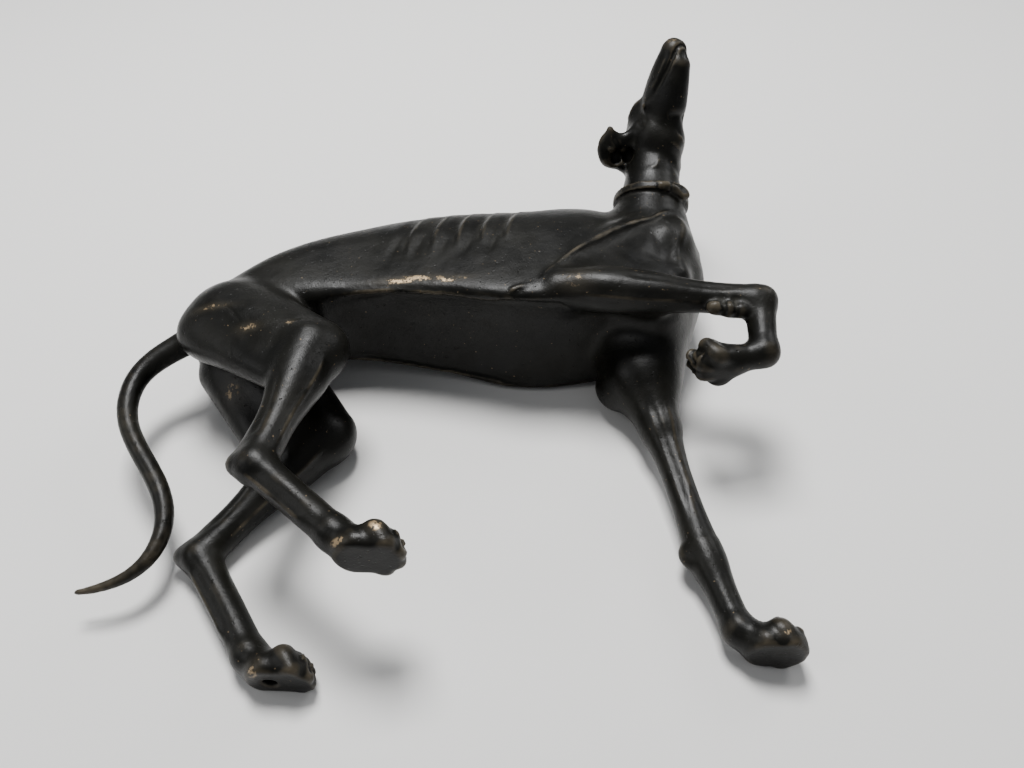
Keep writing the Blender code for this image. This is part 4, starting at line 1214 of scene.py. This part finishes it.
class Skin:
    """The finely meshed surface and the chaser's work on it."""

    def __init__(self, points: np.ndarray, faces: np.ndarray) -> None:
        """Take over a surface.

        Args:
            points: Its points, in millimetres.
            faces: Its four-sided faces.
        """
        self.points = points
        self.faces = faces
        self.normals = self.find_normals()

    def find_normals(self) -> np.ndarray:
        """Corner normals from the faces round each corner.

        Returns:
            One normal for each corner.
        """
        p, f = self.points, self.faces
        face = np.cross(p[f[:, 2]] - p[f[:, 0]], p[f[:, 3]] - p[f[:, 1]])
        out = np.zeros_like(p)
        for column in range(4):
            for axis in range(3):
                out[:, axis] += np.bincount(f[:, column], face[:, axis], len(p))
        return out / np.maximum(np.linalg.norm(out, axis=1), 1e-9)[:, None]

    def relaxed(self, values: np.ndarray, rounds: int) -> np.ndarray:
        """Values averaged with those next to them.

        Args:
            values: One value or place for each corner.
            rounds: How often.

        Returns:
            The averaged values.
        """
        f = self.faces
        pairs = np.concatenate([f[:, [0, 1]], f[:, [1, 2]], f[:, [2, 3]], f[:, [3, 0]]])
        count = np.bincount(pairs[:, 0], minlength=len(self.points)).astype(float)
        count = np.maximum(count, 1.0)
        values = np.array(values, dtype=float)
        wide = values.reshape(len(values), -1)
        for _ in range(rounds):
            total = np.stack([np.bincount(pairs[:, 0], wide[pairs[:, 1], k], len(wide))
                              for k in range(wide.shape[1])], axis=1)
            wide = 0.5 * wide + 0.5 * total / count[:, None]
        return wide.reshape(values.shape)

    def settle(self, rounds: int = 3) -> None:
        """Take the steps of the grid out of the surface without shrinking it.

        Args:
            rounds: How often.
        """
        for _ in range(rounds):
            lower = self.relaxed(self.points, 1)
            moved = lower - self.points
            self.points = lower - 0.96 * self.relaxed(moved, 1)
        self.normals = self.find_normals()

    def chase(self, strokes: list[Stroke]) -> None:
        """Cut every stroke into the skin.

        Args:
            strokes: The marks.
        """
        tree = KDTree(len(self.points))
        for i, p in enumerate(self.points):
            tree.insert(p, i)
        tree.balance()
        push = np.zeros(len(self.points))
        for stroke in strokes:
            line = smooth_path(stroke.path)
            line = np.array([self.points[tree.find(Vector(p))[1]] for p in line])
            for _ in range(4):
                line[1:-1] = (line[:-2] + 2 * line[1:-1] + line[2:]) / 4
            reach = stroke.width * 2.6
            near = np.all((self.points > line.min(0) - reach) & (self.points < line.max(0) + reach), axis=1)
            index = np.flatnonzero(near)
            best = np.full(len(index), 1e9)
            share = np.zeros(len(index))
            for k, (a, b) in enumerate(zip(line, line[1:])):
                step = b - a
                t = np.clip(((self.points[index] - a) @ step) / max(step @ step, 1e-9), 0.0, 1.0)
                far = np.linalg.norm(self.points[index] - a - t[:, None] * step, axis=1)
                closer = far < best
                best[closer] = far[closer]
                share[closer] = (k + t[closer]) / (len(line) - 1)
            fade = np.clip(np.sin(np.pi * np.clip(share, 0.02, 0.98)) * 2.2, 0.0, 1.0)
            push[index] += stroke.tool.value * stroke.depth * fade * np.exp(-(best / stroke.width) ** 2)
        self.points = self.points + self.normals * push[:, None]
        self.normals = self.find_normals()
        LOG.info("chased %d strokes", len(strokes))

    def grain(self, size: float, depth: float, seed: int) -> None:
        """Hand-worked unevenness of the wax: soft random swells.

        Args:
            size: Length of the swells.
            depth: Their depth.
            seed: Start of the random draws.
        """
        rng = np.random.default_rng(seed)
        push = np.zeros(len(self.points))
        for _ in range(SWELLS):
            way = rng.normal(size=3)
            way /= np.linalg.norm(way)
            pitch = 2 * np.pi / size
            push += np.sin(self.points @ way * pitch * rng.uniform(0.7, 1.4) + rng.uniform(0, 6.28))
        self.points = self.points + self.normals * (push / SWELLS * depth)[:, None]

    def marks(self) -> np.ndarray:
        """How proud or hollow each corner lies, from -1 to 1.

        Returns:
            One value for each corner.
        """
        soft = self.relaxed(self.points, 6)
        height = np.sum((self.points - soft) * self.normals, axis=1)
        return np.clip(height / FULL_MARK, -1.0, 1.0)


@dataclass
class Greyhound:
    """The whole figure, from clay to patinated casting."""

    finish: Finish
    rubs: list[Rub]
    trunk: Trunk = Trunk()
    head: Head = Head()
    fore_legs: ForeLegs = ForeLegs()
    hind_legs: HindLegs = HindLegs()
    tail: Tail = Tail()
    shift: np.ndarray = field(default_factory=lambda: np.zeros(3))

    def paws(self) -> list[Paw]:
        """The four paws, in the order their marks are cut.

        Returns:
            Left fore, left hind, right hind and raised right fore paw.
        """
        fore_wrist = along(LEFT_ELBOW, LEFT_FOREARM_TURN, LEFT_FOREARM)
        fore = along(fore_wrist, LEFT_PASTERN_TURN, LEFT_PASTERN)
        left_hock = along(LEFT_STIFLE, LEFT_SHIN_TURN, LEFT_SHIN)
        left = along(left_hock, LEFT_HIND_PASTERN_TURN, LEFT_HIND_PASTERN)
        right_hock = along(RIGHT_STIFLE, RIGHT_SHIN_TURN, RIGHT_SHIN)
        right = along(right_hock, RIGHT_HIND_PASTERN_TURN, RIGHT_HIND_PASTERN)
        raised_wrist = along(RIGHT_ELBOW, RIGHT_FOREARM_TURN, RIGHT_FOREARM)
        raised = along(raised_wrist, RIGHT_PASTERN_TURN, RIGHT_PASTERN)
        return [Paw(fore, LEFT_FORE_PAW_TURN, LEFT_FORE_PAW_LENGTH),
                Paw(left, LEFT_HIND_PAW_TURN, PAW_LENGTH),
                Paw(right, RIGHT_HIND_PAW_TURN, PAW_LENGTH), Paw(raised, RIGHT_PAW_TURN, RIGHT_PAW_LENGTH)]

    def strokes(self) -> list[Stroke]:
        """Every chased mark on the figure.

        Returns:
            The marks, in the order they are cut.
        """
        marks = self.trunk.strokes() + self.trunk.back_strokes() + scratch_strokes()
        marks += self.fore_legs.strokes() + self.hind_legs.strokes() + self.head.strokes()
        for paw in self.paws():
            marks += paw.strokes()
        return marks

    def sculpt(self) -> Skin:
        """Press all the masses together and skin them.

        Returns:
            The skin.
        """
        clay = Clay(block_low(), block_high(), SKIN_STEP)
        self.trunk.press(clay)
        self.head.press(clay)
        self.fore_legs.press(clay)
        sole, down, turn, _ = self.hind_legs.press(clay)
        self.tail.press(clay)
        rest_on_table(clay)
        mouth = sole + turn * PIN_HOLE_AHEAD
        clay.bone(mouth + down, mouth - down * PIN_HOLE_DEPTH, PIN_HOLE_RADIUS, PIN_HOLE_RADIUS, SOLE_EDGE,
                  take=True)
        points, faces = clay.skin()
        LOG.info("skinned: %d corners, %d faces", len(points), len(faces))
        return Skin(points, faces)

    def build(self) -> bpy.types.Object:
        """Make the mesh object with its finish.

        Returns:
            The object.
        """
        skin = self.sculpt()
        skin.settle()
        skin.chase(self.strokes())
        skin.grain(SWELL_SIZE, SWELL_DEPTH, SWELL_SEED)
        skin.normals = skin.find_normals()
        skin.points[:, 2] = np.maximum(skin.points[:, 2], 0.0)
        self.shift = -(skin.points.min(axis=0) + skin.points.max(axis=0)) / 2
        self.shift[2] = 0.0
        low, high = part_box("greyhound")
        placed = np.clip(skin.points + self.shift, vec(low) / MM, vec(high) / MM)
        mesh = bpy.data.meshes.new("greyhound_cast")
        mesh.from_pydata((placed * MM).tolist(), [], skin.faces.tolist())
        mesh.update()
        mesh.shade_smooth()
        self.paint(mesh, skin)
        thing = bpy.data.objects.new("greyhound_cast", mesh)
        bpy.context.scene.collection.objects.link(thing)
        self.thin(thing)
        self.keep_in_box(thing.data, low, high)
        thing.data.materials.append(patina_material(self.finish))
        LOG.info("figure: %d faces", len(thing.data.polygons))
        return thing

    def thin(self, thing: bpy.types.Object) -> None:
        """Merge the flattest faces until the skin is light enough to carry about.

        Args:
            thing: The figure's object, which gets the lighter mesh.
        """
        full = thing.data
        merge = thing.modifiers.new("thin", "DECIMATE")
        merge.ratio = TRIANGLES_WANTED / (2 * len(full.polygons))
        graph = bpy.context.evaluated_depsgraph_get()
        light = bpy.data.meshes.new_from_object(thing.evaluated_get(graph), preserve_all_data_layers=True,
                                                depsgraph=graph)
        thing.modifiers.clear()
        thing.data = light
        bpy.data.meshes.remove(full)
        light.name = "greyhound_cast"
        light.shade_smooth()

    def keep_in_box(self, mesh: bpy.types.Mesh, low: Sequence[float], high: Sequence[float]) -> None:
        """Hold every corner of a mesh inside the solid figure's box.

        Args:
            mesh: The mesh to hold.
            low: The box's low corner, in metres.
            high: The box's high corner, in metres.
        """
        places = np.empty(3 * len(mesh.vertices))
        mesh.vertices.foreach_get("co", places)
        held = np.clip(places.reshape(-1, 3), vec(low), vec(high))
        mesh.vertices.foreach_set("co", held.ravel())
        mesh.update()

    def paint(self, mesh: bpy.types.Mesh, skin: Skin) -> None:
        """Write the height and rub values that the finish reads.

        Args:
            mesh: The mesh that gets them.
            skin: The skin it was made from.
        """
        height = mesh.attributes.new("height", "FLOAT", "POINT")
        height.data.foreach_set("value", skin.marks().astype(np.float32))
        rubbed = np.zeros(len(skin.points))
        for rub in self.rubs:
            off = (skin.points - vec(rub.place)) / vec(rub.size)
            rubbed = np.maximum(rubbed, rub.strength * np.exp(-np.sum(off * off, axis=1)))
        layer = mesh.attributes.new("rub", "FLOAT", "POINT")
        layer.data.foreach_set("value", rubbed.astype(np.float32))


class Net:
    """Small helper to lay out shader nodes."""

    def __init__(self, tree: bpy.types.NodeTree) -> None:
        """Work on a node tree.

        Args:
            tree: The tree.
        """
        self.tree = tree

    def add(self, kind: str, inputs: dict | None = None, **settings: object) -> bpy.types.Node:
        """A node with its settings and its inputs linked or set.

        Args:
            kind: The node's type name.
            inputs: Values or sockets by input name or number.
            **settings: Attributes of the node.

        Returns:
            The node.
        """
        node = self.tree.nodes.new(kind)
        for key, value in settings.items():
            setattr(node, key, value)
        for key, value in (inputs or {}).items():
            if isinstance(value, bpy.types.NodeSocket):
                self.tree.links.new(value, node.inputs[key])
            else:
                node.inputs[key].default_value = value
        return node

    def math(self, operation: str, a: object, b: object = 0.0, clamp: bool = False) -> bpy.types.NodeSocket:
        """A math node's result."""
        return self.add("ShaderNodeMath", {0: a, 1: b}, operation=operation, use_clamp=clamp).outputs[0]

    def mix(self, share: object, a: object, b: object) -> bpy.types.NodeSocket:
        """Two colours mixed."""
        node = self.add("ShaderNodeMix", {0: share, 6: a, 7: b}, data_type="RGBA")
        return node.outputs[2]

    def ramp(self, value: object, low: float, high: float) -> bpy.types.NodeSocket:
        """A value stretched from low..high to 0..1."""
        return self.add("ShaderNodeMapRange", {0: value, 1: low, 2: high}, clamp=True).outputs[0]

    def noise(self, place: object, scale: float, detail: float = 3.0,
              roughness: float = 0.55) -> bpy.types.NodeSocket:
        """Cloud noise at a place."""
        return self.add("ShaderNodeTexNoise", {"Vector": place, "Scale": scale, "Detail": detail,
                                               "Roughness": roughness}).outputs["Fac"]


def new_group(name: str, inputs: list, outputs: list) -> tuple:
    """A shader node group with its sockets.

    Args:
        name: The group's name.
        inputs: Pairs of socket name and socket type.
        outputs: Pairs of socket name and socket type.

    Returns:
        The group's tree, a Net on it, its input node and its output node.
    """
    tree = bpy.data.node_groups.new(name, "ShaderNodeTree")
    for label, kind in inputs:
        tree.interface.new_socket(name=label, in_out="INPUT", socket_type=kind)
    for label, kind in outputs:
        tree.interface.new_socket(name=label, in_out="OUTPUT", socket_type=kind)
    net = Net(tree)
    return tree, net, tree.nodes.new("NodeGroupInput"), tree.nodes.new("NodeGroupOutput")


def wear_and_highlight_group() -> bpy.types.NodeTree:
    """Where the patina is rubbed through, in rubbed patches and small knocks, and the pale proud edges, which
    are partly worn patina and partly painted highlight.

    Returns:
        The group.
    """
    tree, net, given, out = new_group(
        "wear_and_highlight",
        [("Place", "NodeSocketVector"), ("Height", "NodeSocketFloat"), ("Rub", "NodeSocketFloat")],
        [("Bare", "NodeSocketFloat"), ("ThinWearAndHighlight", "NodeSocketFloat")])
    place, height, rub = given.outputs["Place"], given.outputs["Height"], given.outputs["Rub"]
    cloud = net.noise(place, 260.0, 4.0, 0.65)
    streak = net.noise(place, 900.0, 2.0, 0.5)
    broken = net.math("ADD", cloud, net.math("MULTIPLY", streak, 0.35))
    patch = net.math("MULTIPLY", rub, net.ramp(broken, 0.55, 0.75))
    bare = net.ramp(patch, 0.30, 0.55)
    # Pale proud ridges: partly worn patina, partly painted highlight lines.
    edge = net.math("MULTIPLY", net.ramp(height, 0.30, 0.85), net.ramp(net.noise(place, 70.0), 0.36, 0.60))
    specks = net.ramp(net.noise(place, 620.0, 1.0, 0.4), 0.765, 0.790)
    tree.links.new(net.math("MAXIMUM", bare, net.math("MULTIPLY", specks, 0.35), True), out.inputs["Bare"])
    # This output mixes the painted edge highlight with the lighter tint of rubbed patches.
    thin = net.math("MAXIMUM", net.math("MULTIPLY", edge, 0.5), net.math("MULTIPLY", rub, 0.35), True)
    tree.links.new(thin, out.inputs["ThinWearAndHighlight"])
    return tree


def dust_group() -> bpy.types.NodeTree:
    """Old wax and dust left in hollows, with a cloudy bloom.

    Returns:
        The group.
    """
    tree, net, given, out = new_group(
        "dust", [("Place", "NodeSocketVector"), ("Height", "NodeSocketFloat")], [("Dust",
                                                                                  "NodeSocketFloat")])
    place, height = given.outputs["Place"], given.outputs["Height"]
    hollow = net.ramp(net.math("MULTIPLY", height, -1.0), 0.15, 0.9)
    cloud = net.ramp(net.noise(place, 45.0, 5.0, 0.6), 0.42, 0.72)
    total = net.math("ADD", net.math("MULTIPLY", hollow, 0.35), net.math("MULTIPLY", cloud, 0.16), True)
    tree.links.new(total, out.inputs["Dust"])
    return tree


def relief_group() -> bpy.types.NodeTree:
    """Fine casting skin: pits, brushed wax and light scratches as a height.

    Returns:
        The group.
    """
    tree, net, given, out = new_group(
        "casting_skin", [("Place", "NodeSocketVector")], [("Height", "NodeSocketFloat")])
    place = given.outputs["Place"]
    fine = net.math("MULTIPLY", net.noise(place, 1400.0, 2.0, 0.6), 0.30)
    broad = net.math("MULTIPLY", net.noise(place, 230.0, 4.0, 0.55), 0.8)
    pits = net.math("MULTIPLY", net.ramp(net.noise(place, 520.0, 1.0, 0.3), 0.72, 0.80), -0.9)
    total = net.math("ADD", net.math("ADD", fine, broad), pits)
    tree.links.new(total, out.inputs["Height"])
    return tree


def patina_material(finish: Finish) -> bpy.types.Material:
    """Dark bronze with its wear, painted highlights on proud edges, dust and casting skin.

    Args:
        finish: The colours and sheen.

    Returns:
        The material.
    """
    material = bpy.data.materials.new(finish.name)
    material.use_nodes = True
    tree = material.node_tree
    shader = tree.nodes["Principled BSDF"]
    net = Net(tree)
    place = net.add("ShaderNodeTexCoord").outputs["Object"]
    height = net.add("ShaderNodeAttribute", attribute_name="height").outputs["Fac"]
    rub = net.add("ShaderNodeAttribute", attribute_name="rub").outputs["Fac"]
    wear_and_highlight = net.add("ShaderNodeGroup", node_tree=wear_and_highlight_group())
    dust = net.add("ShaderNodeGroup", node_tree=dust_group())
    relief = net.add("ShaderNodeGroup", node_tree=relief_group())
    for node in (wear_and_highlight, dust, relief):
        tree.links.new(place, node.inputs["Place"])
    tree.links.new(height, wear_and_highlight.inputs["Height"])
    tree.links.new(rub, wear_and_highlight.inputs["Rub"])
    tree.links.new(height, dust.inputs["Height"])
    bare, thin, grey = wear_and_highlight.outputs["Bare"], wear_and_highlight.outputs["ThinWearAndHighlight"], dust.outputs["Dust"]
    tint = net.mix(net.ramp(net.noise(place, 28.0), 0.35, 0.70), finish.base, finish.cloud)
    # Pale proud edges: worn patina and painted highlight together.
    tint = net.mix(thin, tint, finish.edge)
    tint = net.mix(grey, tint, finish.dust)
    tint = net.mix(bare, tint, finish.worn)
    tree.links.new(tint, shader.inputs["Base Color"])
    rough = net.math("ADD", finish.roughness, net.math("MULTIPLY", grey, 0.45))
    rough = net.math("ADD", rough, net.math("MULTIPLY", net.noise(place, 95.0), 0.24), True)
    tree.links.new(rough, shader.inputs["Roughness"])
    metal = net.math("ADD", net.math("MULTIPLY", bare, 0.75), 0.0, True)
    tree.links.new(metal, shader.inputs["Metallic"])
    bump = net.add("ShaderNodeBump", {"Height": relief.outputs["Height"], "Strength": finish.bump,
                                      "Distance": finish.bump_height})
    tree.links.new(bump.outputs["Normal"], shader.inputs["Normal"])
    shader.inputs["Specular IOR Level"].default_value = finish.specular
    return material


def flat_material(name: str, colour: tuple, roughness: float) -> bpy.types.Material:
    """A plain material.

    Args:
        name: Its name.
        colour: Its colour.
        roughness: Its roughness.

    Returns:
        The material.
    """
    material = bpy.data.materials.new(name)
    material.use_nodes = True
    shader = material.node_tree.nodes["Principled BSDF"]
    shader.inputs["Base Color"].default_value = colour
    shader.inputs["Roughness"].default_value = roughness
    return material


@dataclass(frozen=True)
class Lamp:
    """A soft square lamp: place and target in metres, the length of its side, and watts."""

    name: str
    place: tuple
    target: tuple
    size: float
    power: float


LAMPS = (
    Lamp("ceiling", (-0.10, 0.45, 1.25), (0.0, 0.0, 0.0), 0.45, 30.0),
    Lamp("window", (0.95, 0.75, 0.85), (0.05, 0.0, 0.05), 0.5, 4.0),
    Lamp("side", (-1.1, -0.15, 0.8), (0.0, 0.0, 0.0), 0.6, 3.0),
)


@dataclass
class Studio:
    """Plain floor, soft light and the camera."""

    lamps: tuple = LAMPS
    daylight: tuple = (0.92, 0.95, 1.0, 1.0)
    daylight_strength: float = 0.22
    floor_reach: float = 6.0
    floor_roughness: float = 0.75
    sensor: float = 36.0
    nearest: float = 0.01
    camera_place: tuple = (26.0, -265.0, 295.0)
    pitch: float = 47.0
    lens: float = 27.0
    camera_shift: np.ndarray = field(default_factory=lambda: np.zeros(3))

    def floor(self) -> None:
        """A wide pale floor under the figure."""
        form = bmesh.new()
        bmesh.ops.create_grid(form, x_segments=1, y_segments=1, size=self.floor_reach)
        mesh = bpy.data.meshes.new("floor")
        form.to_mesh(mesh)
        form.free()
        mesh.materials.append(flat_material("floor", FLOOR_TONE, self.floor_roughness))
        thing = bpy.data.objects.new("floor", mesh)
        bpy.context.scene.collection.objects.link(thing)

    def hang(self, lamp: Lamp) -> None:
        """Hang a lamp and aim it.

        Args:
            lamp: The lamp.
        """
        light = bpy.data.lights.new(lamp.name, "AREA")
        light.energy = lamp.power
        light.size = lamp.size
        thing = bpy.data.objects.new(lamp.name, light)
        thing.location = lamp.place
        aim = Vector(lamp.target) - Vector(lamp.place)
        thing.rotation_euler = aim.to_track_quat("-Z", "Y").to_euler()
        bpy.context.scene.collection.objects.link(thing)

    def set_up(self) -> None:
        """Light the figure and place the camera."""
        self.floor()
        for lamp in self.lamps:
            self.hang(lamp)
        world = bpy.data.worlds.new("studio")
        world.use_nodes = True
        sky = world.node_tree.nodes["Background"]
        sky.inputs["Color"].default_value = self.daylight
        sky.inputs["Strength"].default_value = self.daylight_strength
        bpy.context.scene.world = world
        camera = bpy.data.cameras.new("camera")
        camera.lens = self.lens
        camera.sensor_width = self.sensor
        camera.clip_start = self.nearest
        thing = bpy.data.objects.new("camera", camera)
        thing.location = (vec(self.camera_place) + self.camera_shift) * MM
        thing.rotation_euler = (math.radians(90.0 - self.pitch), 0.0, 0.0)
        bpy.context.scene.collection.objects.link(thing)
        bpy.context.scene.camera = thing


def rubs() -> list[Rub]:
    """Places where handling and knocks took the patina off.

    Returns:
        The patches.
    """
    rows = (
        ("flank", (-23.0, 21.5, 61.0), (17.0, 2.3, 5.0), 0.95),
        ("flank_thin", (-2.0, 19.0, 62.0), (9.0, 2.2, 5.0), 0.8),
        ("thigh", (-112.0, 1.0, 62.0), (10.0, 2.0, 7.0), 0.62),
        ("thigh_low", (-91.0, -14.0, 63.0), (6.0, 2.4, 6.0), 0.62),
        ("thigh_inside", (-107.0, -19.0, 25.0), (7.0, 9.0, 8.0), 0.45),
        ("knee_nick", (-72.0, -14.0, 66.0), (2.2, 1.4, 3.0), 0.7),
        ("hind_paw", (-22.0, -117.0, 63.0), (3.0, 3.0, 4.0), 0.8),
        ("hind_heel", (-34.0, -122.0, 60.0), (5.0, 1.8, 4.0), 0.8),
        ("left_heel", (-70.0, -150.0, 16.0), (3.5, 3.5, 5.0), 0.6),
        ("nose", (110.0, 145.0, 122.0), (4.0, 3.0, 3.0), 0.6),
        ("toes", (128.0, -137.0, 22.0), (3.0, 2.0, 3.5), 0.65),
        ("elbow", (56.0, 10.0, 70.0), (9.0, 6.0, 6.0), 0.45),
    )
    return [Rub(*row) for row in rows]


def main() -> None:
    """Build the figure on the part's frame and finish the scene."""
    logging.basicConfig(level=logging.INFO, format="%(name)s: %(message)s")
    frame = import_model()
    LOG.info("packed frame read: %s", sorted(frame)[:3])
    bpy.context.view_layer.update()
    greyhound = Greyhound(PATINA, rubs())
    figure = greyhound.build()
    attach(figure, "root")
    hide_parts("greyhound")
    Studio(camera_shift=greyhound.shift).set_up()


if __name__ == "__main__":
    main()
